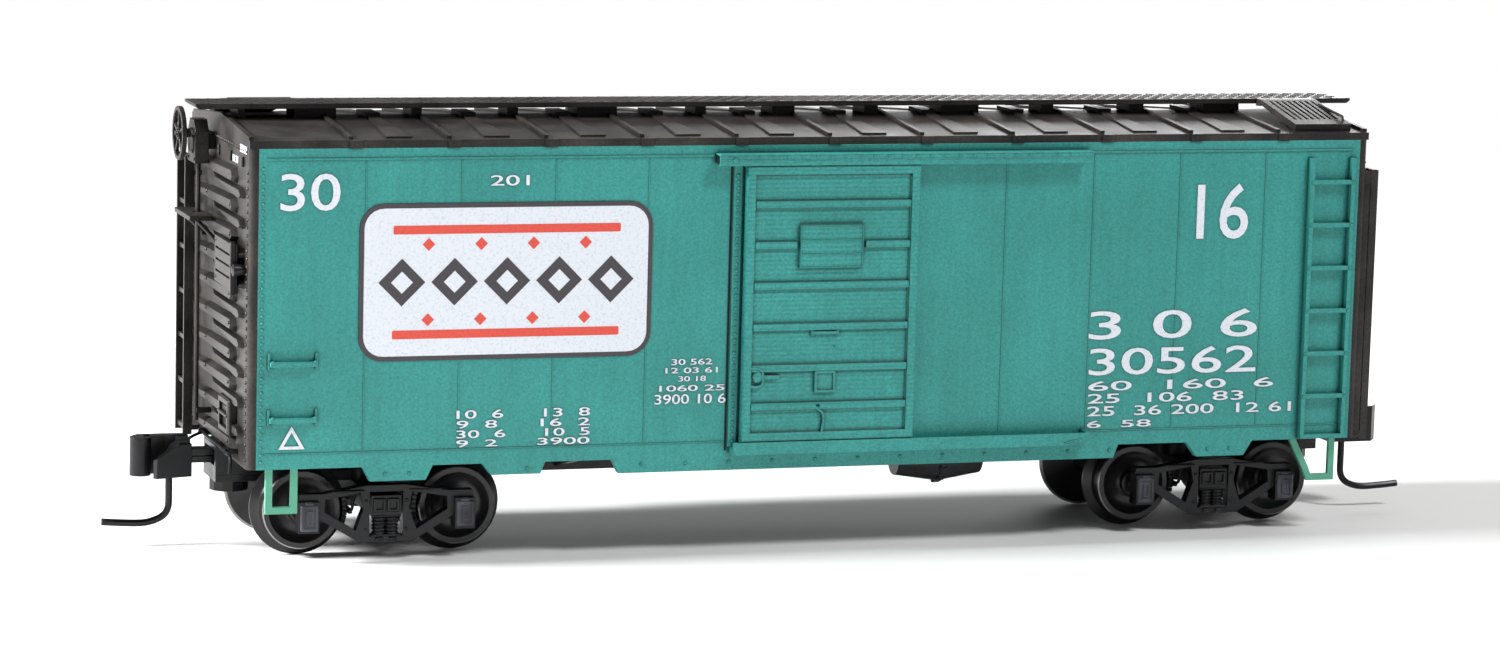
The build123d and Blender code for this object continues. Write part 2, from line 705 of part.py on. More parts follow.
def brake_valve():
    x0, x1 = VALVE_X - VALVE_HALF_LENGTH, VALVE_X + VALVE_HALF_LENGTH
    y0, y1 = VALVE_Y - VALVE_HALF_WIDTH, VALVE_Y + VALVE_HALF_WIDTH
    body = block(x0, x1, y0, y1, VALVE_LOW, FLOOR_LOW)
    port_z = VALVE_LOW + VALVE_HALF_WIDTH
    start, end = (x1, VALVE_Y, port_z), (x1 + VALVE_PORT_LENGTH, VALVE_Y, port_z)
    return body + rod(start, end, VALVE_PORT_RADIUS, TURNED_SIDES)


# Ladders, grab irons and steps
def side_ladder():
    x1 = SIDE_HALF - SIDE_LADDER_INSET
    x0 = x1 - SIDE_LADDER_WIDTH
    low, top = SIDE_LADDER_LOW, SIDE_LADDER_TOP
    stiles = [block(x - BAR / 2, x + BAR / 2, -LADDER_FACE, -SIDE_Y, low, top) for x in (x0, x1)]
    heights = [low + BAR / 2] + [SIDE_RUNG_LOW + i * RUNG_PITCH for i in range(SIDE_RUNGS)]
    rungs = [block(x0, x1, -LADDER_FACE, -LADDER_FACE + BAR, z - BAR / 2, z + BAR / 2) for z in heights]
    return joined(stiles + rungs)


def side_grab_irons():
    x0 = -SIDE_HALF + GRAB_INSET
    x1 = x0 + GRAB_LENGTH
    pieces = []
    for z in (GRAB_LOW, GRAB_LOW + GRAB_RISE):
        pieces.append(block(x0, x1, -LADDER_FACE, -LADDER_FACE + BAR, z - BAR / 2, z + BAR / 2))
        for x in (x0, x1 - BAR):
            pieces.append(block(x, x + BAR, -LADDER_FACE, -SIDE_Y, z - BAR / 2, z + BAR / 2))
    return joined(pieces)


def end_ladder():
    """The ladder of the end sheet: deep plates for stiles, on feet between the pressed ribs."""
    back = END_FACE + END_LADDER_GAP
    front = back + END_LADDER_DEPTH
    outer = SIDE_Y - END_LADDER_INSET
    inner = outer - END_LADDER_WIDTH
    stiles = [(-outer, -outer + END_STILE_THICK), (-inner, -inner + END_STILE_THICK)]
    pieces = [block(back, front, y0, y1, END_LADDER_LOW, END_LADDER_TOP) for y0, y1 in stiles]
    for y0, y1 in stiles:
        for z in (END_FOOT_LOW, END_FOOT_TOP):
            pieces.append(block(END_FACE, back, y0, y1, z, z + BAR))
    middle = (back + front) / 2
    for i in range(END_RUNGS):
        z = END_RUNG_LOW + i * END_RUNG_PITCH
        pieces.append(block(middle - BAR / 2, middle + BAR / 2, -outer, -inner, z, z + BAR))
    return joined(pieces)


def step(points):
    """A stirrup: a flat bar bent down from the side sill and up again."""
    y = SIDE_Y - STEP_INSET
    rail = Polyline(*[(x, -y, z) for x, z in points])
    section = Plane(origin=rail @ 0, z_dir=rail % 0) * Rectangle(STEP_THICK, BAR)
    return sweep(section, path=rail, transition=Transition.RIGHT)


def square_step():
    """The stirrup under the grab irons."""
    x0 = -SIDE_HALF + STEP_A_INSET
    x1 = x0 + STEP_TREAD
    return step([(x0, SIDE_LOW), (x0, STEP_LOW), (x1, STEP_LOW), (x1, SIDE_LOW)])


def spread_step():
    """The stirrup under the ladder, whose inner leg spreads towards the truck."""
    x1 = SIDE_HALF - STEP_B_INSET
    x0 = x1 - STEP_TREAD
    elbow = (x0 - BAR, STEP_LOW + STEP_B_RISE)
    return step([(elbow[0] - STEP_B_SPREAD, SIDE_LOW), elbow, (x0, STEP_LOW), (x1, STEP_LOW), (x1, SIDE_LOW)])


# Trucks, drawn about the middle of the truck at axle height
# The side frame's points are shares of half the wheelbase along it and of the tread radius above the axle
SideFramePoint = namedtuple("SideFramePoint", "x z")
FRAME_HALF_OUTLINE = (
    SideFramePoint(0.25, 0.70),
    SideFramePoint(0.81, 0.52),
    SideFramePoint(1.11, 0.52),
    SideFramePoint(1.13, 0.36),
    SideFramePoint(1.13, -0.44),
    SideFramePoint(0.87, -0.44),
    SideFramePoint(0.87, -0.10),
    SideFramePoint(0.34, -0.74),
)
FRAME_WINDOW = (
    SideFramePoint(0.33, 0.52),
    SideFramePoint(0.78, 0.37),
    SideFramePoint(0.79, 0.06),
    SideFramePoint(0.39, -0.43),
    SideFramePoint(0.29, 0.12),
)
SPRING_OPENING_HALF = 1.12
SPRING_OPENING_LOW = -1.55
SPRING_OPENING_TOP = 1.40


def frame_points(table, side):
    """A table of the side frame's points at full size, on one side of the bolster."""
    return [(side * p.x * WHEELBASE / 2, p.z * TREAD_RADIUS) for p in table]


def side_frame():
    near, far = -FRAME_OUTER, -FRAME_INNER
    outline = frame_points(FRAME_HALF_OUTLINE, 1) + frame_points(FRAME_HALF_OUTLINE, -1)[::-1]
    frame = outline_xz(outline, near, far)
    for side in (-1, 1):
        frame -= outline_xz(frame_points(FRAME_WINDOW, side), near, far)
    opening = SPRING_OPENING_HALF
    frame -= block(-opening, opening, near, far, SPRING_OPENING_LOW, SPRING_OPENING_TOP)
    for side in (-1, 1):
        x = side * WHEELBASE / 2
        half = JOURNAL_WIDTH / 2
        frame += block(x - half, x + half, -JOURNAL_FACE, near, JOURNAL_LOW, JOURNAL_TOP)
        bearing = RegularPolygon(STUB_RADIUS + BEARING_GAP, TURNED_SIDES, major_radius=False)
        plane = Plane(origin=(x, far, 0), z_dir=(0, -1, 0))
        frame -= extrude(plane * bearing, amount=STUB_POINT_LENGTH + BEARING_GAP)
    middle = (near + far) / 2
    for x in (-SPRING_SPACING / 2, SPRING_SPACING / 2):
        frame += rod((x, middle, SPRING_OPENING_LOW), (x, middle, BOLSTER_LOW), SPRING_RADIUS, SPRING_SIDES)
    return frame


def truck_frame():
    """Both side frames, the bolster between them and the tongue that carries the coupler pocket."""
    near = side_frame()
    frame = near + half_turn(near)
    half = BOLSTER_HALF_WIDTH
    frame += block(-half, half, -FRAME_OUTER, FRAME_OUTER, BOLSTER_LOW, BOLSTER_TOP)
    frame += rod((0, 0, BOLSTER_TOP), (0, 0, CENTRE_PLATE_TOP), CENTRE_PLATE_RADIUS)
    frame = Pos(TRUCK_X, 0, AXLE_Z) * frame
    frame += block(TRUCK_X, POCKET_BACK, -TONGUE_HALF_WIDTH, TONGUE_HALF_WIDTH, TONGUE_LOW, TONGUE_TOP)
    width = POCKET_HALF_WIDTH
    frame += block(POCKET_BACK, POCKET_FRONT, -width, width, POCKET_LOW, TONGUE_TOP)
    boss_x = POCKET_FRONT - POCKET_BOSS_RADIUS
    frame += rod((boss_x, 0, POCKET_BOSS_LOW), (boss_x, 0, POCKET_LOW), POCKET_BOSS_RADIUS, TURNED_SIDES)
    low, top = AXLE_Z + BOLSTER_LOW, AXLE_Z + CENTRE_PLATE_TOP
    return frame - rod((TRUCK_X, 0, low), (TRUCK_X, 0, top), PIN_RADIUS + PIN_GAP)


def coupler_pocket():
    """The open-fronted box that stands on the tongue, with the post that the coupler swings on."""
    cavity_low = COUPLER_Z - SHANK_HEIGHT / 2 - COUPLER_GAP
    cavity_top = COUPLER_Z + SHANK_HEIGHT / 2 + COUPLER_GAP
    width = POCKET_HALF_WIDTH
    box = block(POCKET_BACK, POCKET_FRONT, -width, width, TONGUE_TOP, cavity_top)
    inner = width - POCKET_WALL
    box -= block(POCKET_BACK + POCKET_WALL, POCKET_FRONT, -inner, inner, cavity_low, cavity_top)
    return box + rod((COUPLER_PIVOT_X, 0, cavity_low), (COUPLER_PIVOT_X, 0, cavity_top), COUPLER_POST_RADIUS)


def pocket_lid():
    low = COUPLER_Z + SHANK_HEIGHT / 2 + COUPLER_GAP
    return block(POCKET_BACK, POCKET_FRONT, -POCKET_HALF_WIDTH, POCKET_HALF_WIDTH, low, low + LID_THICK)


def truck_pin():
    """The pin that holds a truck to the body: its shaft in the boss, its head below the bolster."""
    head_top = AXLE_Z + BOLSTER_LOW - SEAT_GAP
    shaft = rod((TRUCK_X, 0, head_top), (TRUCK_X, 0, FLOOR_LOW), PIN_RADIUS)
    head_low = head_top - PIN_HEAD_THICK
    return shaft + rod((TRUCK_X, 0, head_low), (TRUCK_X, 0, head_top), PIN_HEAD_RADIUS, TURNED_SIDES)


def wheelset():
    """One axle with both wheels. A wheel is turned in one profile with its flange, tread and dished face."""
    flange_radius = TREAD_RADIUS + FLANGE_HEIGHT
    face = WHEEL_FACE - WHEEL_DISH
    profile = [
        (0, WHEEL_BACK),
        (flange_radius - FLANGE_BEVEL, WHEEL_BACK),
        (flange_radius, WHEEL_BACK + FLANGE_WIDTH / 2),
        (TREAD_RADIUS, WHEEL_BACK + FLANGE_WIDTH),
        (TREAD_RADIUS, WHEEL_FACE),
        (TREAD_RADIUS - RIM_DEPTH, WHEEL_FACE),
        (HUB_BOSS_RADIUS, face),
        (0, face),
    ]
    wheel = revolve(make_face(Polyline(*[(r, -y, 0) for r, y in profile], close=True)), axis=Axis.Y)
    boss_end = WHEEL_FACE + HUB_BOSS_PROUD
    wheel += rod((0, -face, 0), (0, -boss_end, 0), HUB_BOSS_RADIUS, TURNED_SIDES)
    tip = FRAME_INNER + STUB_POINT_LENGTH
    wheel += rod((0, -boss_end, 0), (0, -tip, 0), STUB_RADIUS, TURNED_SIDES)
    axle = rod((0, -WHEEL_BACK, 0), (0, WHEEL_BACK, 0), AXLE_RADIUS, TURNED_SIDES)
    return wheel + half_turn(wheel) + axle


# Couplers: two half shanks one on the other, the upper with the guard arm, the lower with the knuckle
# The plans are shares of HEAD_LENGTH, out from the back of the head and across it
HeadPoint = namedtuple("HeadPoint", "u v")
GUARD_PLAN = (
    HeadPoint(0.00, -0.04),
    HeadPoint(0.00, 0.28),
    HeadPoint(0.26, 0.35),
    HeadPoint(0.62, 0.45),
    HeadPoint(0.67, 0.37),
    HeadPoint(0.41, 0.19),
    HeadPoint(0.31, -0.04),
)
GUARD_POST_PLAN = (
    HeadPoint(0.02, 0.00),
    HeadPoint(0.02, 0.24),
    HeadPoint(0.23, 0.28),
    HeadPoint(0.23, 0.00),
)
KNUCKLE_PLAN = (
    HeadPoint(0.00, -0.06),
    HeadPoint(0.38, -0.09),
    HeadPoint(0.64, -0.08),
    HeadPoint(0.82, -0.02),
    HeadPoint(0.98, -0.12),
    HeadPoint(0.83, -0.31),
    HeadPoint(0.38, -0.32),
    HeadPoint(0.00, -0.28),
)
KNUCKLE_NOSE = HeadPoint(0.82, -0.02)
GUARD_SHOULDER = 0.23
GUARD_TIP = 0.69


def half_shank(low, top):
    shank = rod((COUPLER_PIVOT_X, 0, low), (COUPLER_PIVOT_X, 0, top), EYE_RADIUS, 2 * TURNED_SIDES)
    shank += block(COUPLER_PIVOT_X, HEAD_BACK, -SHANK_HALF_WIDTH, SHANK_HALF_WIDTH, low, top)
    return shank - rod((COUPLER_PIVOT_X, 0, low), (COUPLER_PIVOT_X, 0, top), COUPLER_POST_RADIUS + EYE_PLAY)


def coupler_head(plan, low, top):
    return outline_xy([(HEAD_BACK + p.u * HEAD_LENGTH, p.v * HEAD_LENGTH) for p in plan], low, top)


def coupler_guard():
    """The upper half: its arm falls away towards the tip."""
    shoulder_top = HEAD_TOP - GUARD_DROP
    head = coupler_head(GUARD_PLAN, HEAD_LOW, shoulder_top)
    shoulder, tip = HEAD_BACK + GUARD_SHOULDER * HEAD_LENGTH, HEAD_BACK + GUARD_TIP * HEAD_LENGTH
    fall = [(shoulder, shoulder_top), (tip, shoulder_top), (tip, GUARD_TIP_TOP)]
    head -= outline_xz(fall, -HEAD_LENGTH, HEAD_LENGTH)
    head += coupler_head(GUARD_POST_PLAN, shoulder_top, HEAD_TOP)
    return half_shank(COUPLER_Z + COUPLER_GAP / 2, COUPLER_Z + SHANK_HEIGHT / 2) + head


def coupler_knuckle():
    """The lower half, with the round nose that hooks into another coupler."""
    shank = half_shank(COUPLER_Z - SHANK_HEIGHT / 2, COUPLER_Z - COUPLER_GAP / 2)
    nose_x = HEAD_BACK + KNUCKLE_NOSE.u * HEAD_LENGTH
    nose_y = KNUCKLE_NOSE.v * HEAD_LENGTH
    nose = rod((nose_x, nose_y, HEAD_LOW), (nose_x, nose_y, HEAD_TOP), KNUCKLE_NOSE_RADIUS, 2 * TURNED_SIDES)
    return shank + coupler_head(KNUCKLE_PLAN, HEAD_LOW, HEAD_TOP) + nose


def trip_pin():
    """The curved steel pin that hangs from the knuckle half."""
    x, y = HEAD_BACK + TRIP_PIN_U, -TRIP_PIN_V
    low_x = x + TRIP_PIN_DROP - TRIP_PIN_LOW
    down = Line((x, y, HEAD_LOW), (x, y, TRIP_PIN_DROP))
    turn = TangentArc((x, y, TRIP_PIN_DROP), (low_x, y, TRIP_PIN_LOW), tangent=(0, 0, -1))
    tip_end = (HEAD_BACK + TRIP_PIN_REACH, y, TRIP_PIN_LOW + TRIP_PIN_TIP_RISE)
    tip = TangentArc((low_x, y, TRIP_PIN_LOW), tip_end, tangent=(1, 0, 0))
    section = RegularPolygon(TRIP_PIN_RADIUS, TRIP_PIN_SIDES)
    return sweep(Plane(origin=(x, y, HEAD_LOW), z_dir=(0, 0, -1)) * section, path=Wire([down, turn, tip]))


# Hand brake at end a, drawn with -X outward
def brake_wheel():
    x = -END_FACE - BRAKE_WHEEL_STAND_OFF
    face = Plane(origin=(x, BRAKE_Y, BRAKE_WHEEL_Z), x_dir=(0, 1, 0), z_dir=(-1, 0, 0))
    rim = RegularPolygon(BRAKE_WHEEL_RADIUS, BRAKE_WHEEL_SIDES)
    rim -= RegularPolygon(BRAKE_WHEEL_RADIUS - BRAKE_WHEEL_RIM, BRAKE_WHEEL_SIDES)
    wheel = extrude(face * rim, amount=BAR)
    wheel += extrude(face * RegularPolygon(BRAKE_HUB_RADIUS, TURNED_SIDES), amount=BAR)
    half = BRAKE_SPOKE_WIDTH / 2
    reach = BRAKE_WHEEL_RADIUS - BRAKE_WHEEL_RIM / 2
    for i in range(BRAKE_SPOKES):
        spoke = block(-BAR + half / 2, -half / 2, -half, half, 0, reach)
        wheel += Pos(x, BRAKE_Y, BRAKE_WHEEL_Z) * Rot(i * 360 / BRAKE_SPOKES, 0, 0) * spoke
    return wheel


def brake_housing():
    """The gear case on the end sheet, with its shaft and the rod down to the lever."""
    x = -END_FACE
    low, shoulder, top = BRAKE_CASE_LOW, BRAKE_CASE_SHOULDER, BRAKE_CASE_TOP
    half = BRAKE_CASE_HALF
    outline = [
        (BRAKE_Y - half, low),
        (BRAKE_Y + half, low),
        (BRAKE_Y + half, shoulder),
        (BRAKE_Y + half / 2, top),
        (BRAKE_Y - half / 2, top),
        (BRAKE_Y - half, shoulder),
    ]
    case = outline_yz(outline, x - BRAKE_CASE_FACE, x - BRAKE_CASE_BACK)
    y0, y1 = BRAKE_Y - BRAKE_BRACKET_HALF, BRAKE_Y + BRAKE_BRACKET_HALF
    bracket = block(x - BRAKE_CASE_BACK, x, y0, y1, BRAKE_BRACKET_LOW, BRAKE_BRACKET_TOP)
    hub = (x - BRAKE_WHEEL_STAND_OFF, BRAKE_Y, BRAKE_WHEEL_Z)
    shaft = rod((x - BRAKE_CASE_FACE, BRAKE_Y, BRAKE_WHEEL_Z), hub, BRAKE_SHAFT_RADIUS, TURNED_SIDES)
    rod_x = x - BRAKE_ROD_X
    down = rod((rod_x, BRAKE_Y, low), (rod_x, BRAKE_Y, BRAKE_ROD_LOW), BRAKE_ROD_RADIUS, SPRING_SIDES)
    guide = block(rod_x, x, BRAKE_Y - BAR, BRAKE_Y + BAR, BRAKE_ROD_GUIDE_Z, BRAKE_ROD_GUIDE_Z + BAR)
    return case + bracket + shaft + down + guide


def brake_platform():
    """The step below the hand brake, with a hole for the rod and two slanted round braces on feet."""
    x = -END_FACE
    deck = block(x - DECK_FRONT, x - DECK_BACK, DECK_Y0, DECK_Y1, DECK_LOW, DECK_LOW + DECK_THICK)
    hole = 2 * BRAKE_ROD_RADIUS
    rod_x = x - BRAKE_ROD_X
    deck -= block(rod_x - hole, rod_x + hole, BRAKE_Y - hole, BRAKE_Y + hole, DECK_LOW, DECK_LOW + DECK_THICK)
    foot_z = DECK_LOW - DECK_BRACE_DROP
    for y in (DECK_Y0 + DECK_BRACE_INSET, DECK_Y1 - DECK_BRACE_INSET):
        start, end = (x - BAR / 2, y, foot_z), (x - DECK_BRACE_REACH, y, DECK_LOW + DECK_THICK / 2)
        deck += rod(start, end, DECK_BRACE_RADIUS, SPRING_SIDES)
        deck += block(x - BAR, x, y - BAR / 2, y + BAR / 2, foot_z - BAR / 2, foot_z + BAR / 2)
    return deck


def placard_board():
    """The slatted board on the end sheet, on the crests of the pressed ribs."""
    back = END_FACE + RIB_PROUD
    face = back + PLACARD_BOARD_THICK
    y0, y1 = PLACARD_BOARD_INNER, PLACARD_BOARD_OUTER
    low, height = PLACARD_BOARD_LOW, PLACARD_BOARD_HEIGHT
    board = block(back, face, y0, y1, low, low + height)
    for i in range(1, PLACARD_SLATS):
        z0 = low + i * height / PLACARD_SLATS - PLACARD_GROOVE / 2
        board -= block(face - PLACARD_GROOVE, face, y0 + BAR, y1, z0, z0 + PLACARD_GROOVE)
    return board


# Every node, drawn where it stands
NODES = {
    "floor": floor(),
    "underframe": underframe(),
    "ballast_plate": ballast_plate(),
    "side_near": car_side(),
    "side_far": half_turn(car_side()),
    "end_b": car_end(),
    "end_a": half_turn(car_end()),
    "roof": roof(),
    "running_board": running_board(),
    "corner_platform_b": corner_platform(),
    "corner_platform_a": half_turn(corner_platform()),
    "door_track_upper_near": upper_track(),
    "door_track_upper_far": half_turn(upper_track()),
    "door_track_lower_near": lower_track(),
    "door_track_lower_far": half_turn(lower_track()),
    "door_near": door(),
    "door_far": half_turn(door()),
    "brake_cylinder": brake_cylinder(),
    "air_reservoir": air_reservoir(),
    "brake_valve": brake_valve(),
    "side_ladder_near": side_ladder(),
    "side_ladder_far": half_turn(side_ladder()),
    "side_grab_irons_near": side_grab_irons(),
    "side_grab_irons_far": half_turn(side_grab_irons()),
    "end_ladder_b": end_ladder(),
    "end_ladder_a": half_turn(end_ladder()),
    "step_near_a": square_step(),
    "step_near_b": spread_step(),
    "step_far_b": half_turn(square_step()),
    "step_far_a": half_turn(spread_step()),
    "brake_wheel": brake_wheel(),
    "brake_housing": brake_housing(),
    "brake_platform": brake_platform(),
    "placard_board_b": placard_board(),
    "placard_board_a": half_turn(placard_board()),
    "truck_frame_b": truck_frame(),
    "truck_frame_a": half_turn(truck_frame()),
    "truck_pin_b": truck_pin(),
    "truck_pin_a": half_turn(truck_pin()),
    "coupler_pocket_b": coupler_pocket(),
    "coupler_pocket_a": half_turn(coupler_pocket()),
    "pocket_lid_b": pocket_lid(),
    "pocket_lid_a": half_turn(pocket_lid()),
    "coupler_guard_b": coupler_guard(),
    "coupler_guard_a": half_turn(coupler_guard()),
    "coupler_knuckle_b": coupler_knuckle(),
    "coupler_knuckle_a": half_turn(coupler_knuckle()),
    "trip_pin_b": trip_pin(),
    "trip_pin_a": half_turn(trip_pin()),
}
for end, sign in (("a", -1), ("b", 1)):
    for number, offset in ((1, -WHEELBASE / 2), (2, WHEELBASE / 2)):
        NODES[f"wheelset_{end}{number}"] = Pos(sign * TRUCK_X + offset, 0, AXLE_Z) * wheelset()

os.makedirs("parts", exist_ok=True)
for name, piece in NODES.items():
    export_step(piece, f"parts/{name}.step")
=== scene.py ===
from collections import namedtuple
from functools import partial
from math import cos, hypot, pi, radians, sin

import bpy
from mathutils import Matrix, Vector


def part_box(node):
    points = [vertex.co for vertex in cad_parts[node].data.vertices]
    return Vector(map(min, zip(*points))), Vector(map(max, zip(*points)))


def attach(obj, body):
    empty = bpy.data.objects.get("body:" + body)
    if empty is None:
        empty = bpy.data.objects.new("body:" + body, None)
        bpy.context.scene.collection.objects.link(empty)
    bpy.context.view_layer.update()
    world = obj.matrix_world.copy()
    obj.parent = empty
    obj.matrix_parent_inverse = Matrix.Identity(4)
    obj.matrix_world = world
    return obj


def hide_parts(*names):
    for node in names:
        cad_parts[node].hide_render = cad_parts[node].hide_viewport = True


# The looks of a 1:160 model boxcar. Lengths are in millimetres until they reach Blender, which takes metres.
# X runs along the car, Y across it and Z up. The near side faces -Y, end a with the hand brake is at -X.
# The far side and end b are the near side and end a turned half way round the middle of the car.
MM = 0.001

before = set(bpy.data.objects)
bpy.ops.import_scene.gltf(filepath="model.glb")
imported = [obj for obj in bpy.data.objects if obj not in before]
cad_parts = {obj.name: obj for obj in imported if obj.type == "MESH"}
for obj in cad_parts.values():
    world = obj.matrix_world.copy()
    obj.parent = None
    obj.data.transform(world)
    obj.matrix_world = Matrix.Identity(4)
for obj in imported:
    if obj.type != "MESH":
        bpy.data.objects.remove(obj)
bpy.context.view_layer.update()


def mm_box(node):
    """A CAD node's lowest and highest corners, in millimetres."""
    low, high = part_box(node)
    return Vector(low) / MM, Vector(high) / MM


# Places read from the frame
side_low, side_high = mm_box("side_near")
roof_low = mm_box("roof")[0]
board_low, board_high = mm_box("running_board")
platform_low, platform_high = mm_box("corner_platform_b")
door_low, door_high = mm_box("door_near")
track_low, track_high = mm_box("door_track_upper_near")
rail_low, rail_high = mm_box("door_track_lower_near")
ladder_low, ladder_high = mm_box("side_ladder_near")
irons_low, irons_high = mm_box("side_grab_irons_near")
pin_low, pin_high = mm_box("trip_pin_a")
wheel_low, wheel_high = mm_box("wheelset_a1")
truck_low = mm_box("truck_frame_a")[0]

SIDE_FACE = 9.25
DOOR_FACE = 9.97
POST_FACE = -side_low.y
TRACK_FACE = -track_low.y
LADDER_FACE = -ladder_low.y
END_FACE = 39.0
EAVE_Z = side_high.z
RAIL_TOP = 0.58
AXLE_Z = (wheel_low.z + wheel_high.z) / 2
WHEELBASE = 10.42
TRUCK_X = -(wheel_low.x + wheel_high.x + WHEELBASE) / 2
FRAME_FACE = 7.35
JOURNAL_FACE = -truck_low.y

# The camera of the photograph: where it looks, from which side, how far and how long its lens is
SENSOR = 36.0
LENS = 111.77
CAMERA_AZIMUTH = -18.341
CAMERA_ELEVATION = 8.414
CAMERA_ROLL = 1.540
CAMERA_DISTANCE = 317.23
LOOK_AT = Vector((-2.242, 0.0, 12.733 + RAIL_TOP))


def make_camera():
    data = bpy.data.cameras.new("photo_camera")
    data.sensor_width = SENSOR
    data.lens = LENS
    data.clip_start = 0.01
    data.clip_end = 10.0
    camera = bpy.data.objects.new("photo_camera", data)
    bpy.context.scene.collection.objects.link(camera)
    azimuth = radians(CAMERA_AZIMUTH)
    elevation = radians(CAMERA_ELEVATION)
    back = Vector((sin(azimuth) * cos(elevation), -cos(azimuth) * cos(elevation), sin(elevation)))
    place = Matrix.Translation((LOOK_AT + back * CAMERA_DISTANCE) * MM)
    turn = back.to_track_quat("Z", "Y").to_matrix().to_4x4()
    camera.matrix_world = place @ turn @ Matrix.Rotation(radians(CAMERA_ROLL), 4, "Z")
    bpy.context.scene.camera = camera


# Modelling by hand: each helper starts a primitive, shapes it in edit mode and leaves it at the origin
def only(piece):
    """Makes one piece the selected and active one."""
    bpy.ops.object.select_all(action="DESELECT")
    piece.select_set(True)
    bpy.context.view_layer.objects.active = piece


def named(name):
    """The piece in hand, with its place moved into its mesh."""
    piece = bpy.context.active_object
    piece.name = name
    bpy.ops.object.transform_apply(location=True, rotation=True, scale=True)
    return piece


def edit_all():
    """Starts edit mode with the whole mesh selected."""
    bpy.ops.object.mode_set(mode="EDIT")
    bpy.ops.mesh.select_all(action="SELECT")


def edit_done():
    bpy.ops.object.mode_set(mode="OBJECT")


def bar(name, low, high, edge=0.04):
    """A straight bar between two corners, its edges softened."""
    bpy.ops.mesh.primitive_cube_add(size=1.0)
    piece = bpy.context.active_object
    piece.location = (Vector(low) + Vector(high)) / 2 * MM
    piece.scale = (Vector(high) - Vector(low)) * MM
    named(name)
    edit_all()
    bpy.ops.mesh.bevel(offset=edge * MM, segments=1, affect="EDGES")
    edit_done()
    return piece


def plate(name, xs, zs, face, out, edge=0.04, sunk=0.1):
    """A bar on a face that looks to -Y. It stands out from the face and is sunk into it, so no gap shows."""
    return bar(name, (xs[0], face - out, zs[0]), (xs[1], face + sunk, zs[1]), edge)


def off_face(face, points):
    """Points given as (x, how far out from a face that looks to -Y, z)."""
    return [(x, face - out, z) for x, out, z in points]


TOWARDS = {
    "+x": (0, pi / 2, 0),
    "-x": (0, -pi / 2, 0),
    "+y": (-pi / 2, 0, 0),
    "-y": (pi / 2, 0, 0),
    "+z": (0, 0, 0),
}


def turned(name, centre, towards, rings, sides=12):
    """A turned piece. Its rings are (distance along the axis, radius), and both ends are closed."""
    bpy.ops.object.select_all(action="DESELECT")
    reach, radius = rings[0]
    start = (0, 0, reach * MM)
    bpy.ops.mesh.primitive_circle_add(vertices=sides, radius=radius * MM, fill_type="NGON", location=start)
    edit_all()
    for distance, ring in rings[1:]:
        step = (0, 0, (distance - reach) * MM)
        bpy.ops.mesh.extrude_region_move(TRANSFORM_OT_translate={"value": step})
        grow = ring / radius
        bpy.ops.transform.resize(value=(grow, grow, 1), center_override=(0, 0, distance * MM))
        reach, radius = distance, ring
    bpy.ops.mesh.select_all(action="SELECT")
    bpy.ops.mesh.remove_doubles(threshold=0.0001 * MM)
    bpy.ops.mesh.normals_make_consistent(inside=False)
    edit_done()
    bpy.ops.object.transform_apply(location=True, rotation=False, scale=False)
    piece = bpy.context.active_object
    piece.rotation_euler = TOWARDS[towards]
    piece.location = Vector(centre) * MM
    return named(name)


def swept(name, points, radius, sides=8):
    """A round wire or pipe along a smooth line. A point given twice makes a tighter bend."""
    bpy.ops.curve.primitive_nurbs_path_add()
    piece = bpy.context.active_object
    curve = piece.data
    curve.splines.clear()
    spline = curve.splines.new("NURBS")
    spline.points.add(len(points) - 1)
    for knot, point in zip(spline.points, points):
        knot.co = (*(Vector(point) * MM), 1.0)
    spline.order_u = 3
    spline.use_endpoint_u = True
    spline.resolution_u = 6
    curve.dimensions = "3D"
    curve.bevel_depth = radius * MM
    curve.bevel_resolution = sides // 4
    curve.use_fill_caps = True
    only(piece)
    bpy.ops.object.convert(target="MESH")
    return named(name)


def pick_face(piece, outward):
    """Goes to edit mode with the largest face that looks one way selected, and tells that face's middle."""
    only(piece)
    bpy.ops.object.mode_set(mode="EDIT")
    bpy.ops.mesh.select_mode(type="FACE")
    bpy.ops.mesh.select_all(action="DESELECT")
    edit_done()
    looking = [face for face in piece.data.polygons if face.normal.dot(Vector(outward)) > 0.99]
    largest = max(looking, key=lambda face: face.area)
    largest.select = True
    middle = largest.center.copy()
    bpy.ops.object.mode_set(mode="EDIT")
    return middle


def raise_face(piece, outward, margin, rise):
    """Insets the largest face that looks one way, then moves it out, or in where rise is negative."""
    pick_face(piece, outward)
    bpy.ops.mesh.inset(thickness=margin * MM, depth=0)
    bpy.ops.mesh.extrude_region_move(TRANSFORM_OT_translate={"value": Vector(outward) * rise * MM})
    edit_done()
    return piece


def narrowed(piece, outward, across, share):
    """Draws the largest face that looks one way together, along one axis, for a tapered piece."""
    middle = pick_face(piece, outward)
    grow = [share if axis == across else 1 for axis in "xyz"]
    bpy.ops.transform.resize(value=grow, center_override=middle)
    edit_done()
    return piece


def row(piece, step, count):
    """Repeats a piece in a row, as one mesh."""
    only(piece)
    array = piece.modifiers.new("row", "ARRAY")
    array.use_relative_offset = False
    array.use_constant_offset = True
    array.constant_offset_displace = Vector(step) * MM
    array.count = count
    bpy.ops.object.modifier_apply(modifier=array.name)
    return piece


def moved(piece, move=(0, 0, 0), turn=0.0, axis="Z"):
    """Moves a piece's mesh, and then turns it about an axis of the car."""
    piece.data.transform(Matrix.Rotation(turn, 4, axis) @ Matrix.Translation(Vector(move) * MM))
    return piece


def copied(piece, move=(0, 0, 0), turn=0.0, name=None):
    """A copy with its own mesh, moved, and then turned about the middle of the car."""
    copy = piece.copy()
    copy.data = piece.data.copy()
    copy.name = name or piece.name
    bpy.context.scene.collection.objects.link(copy)
    return moved(copy, move, turn)


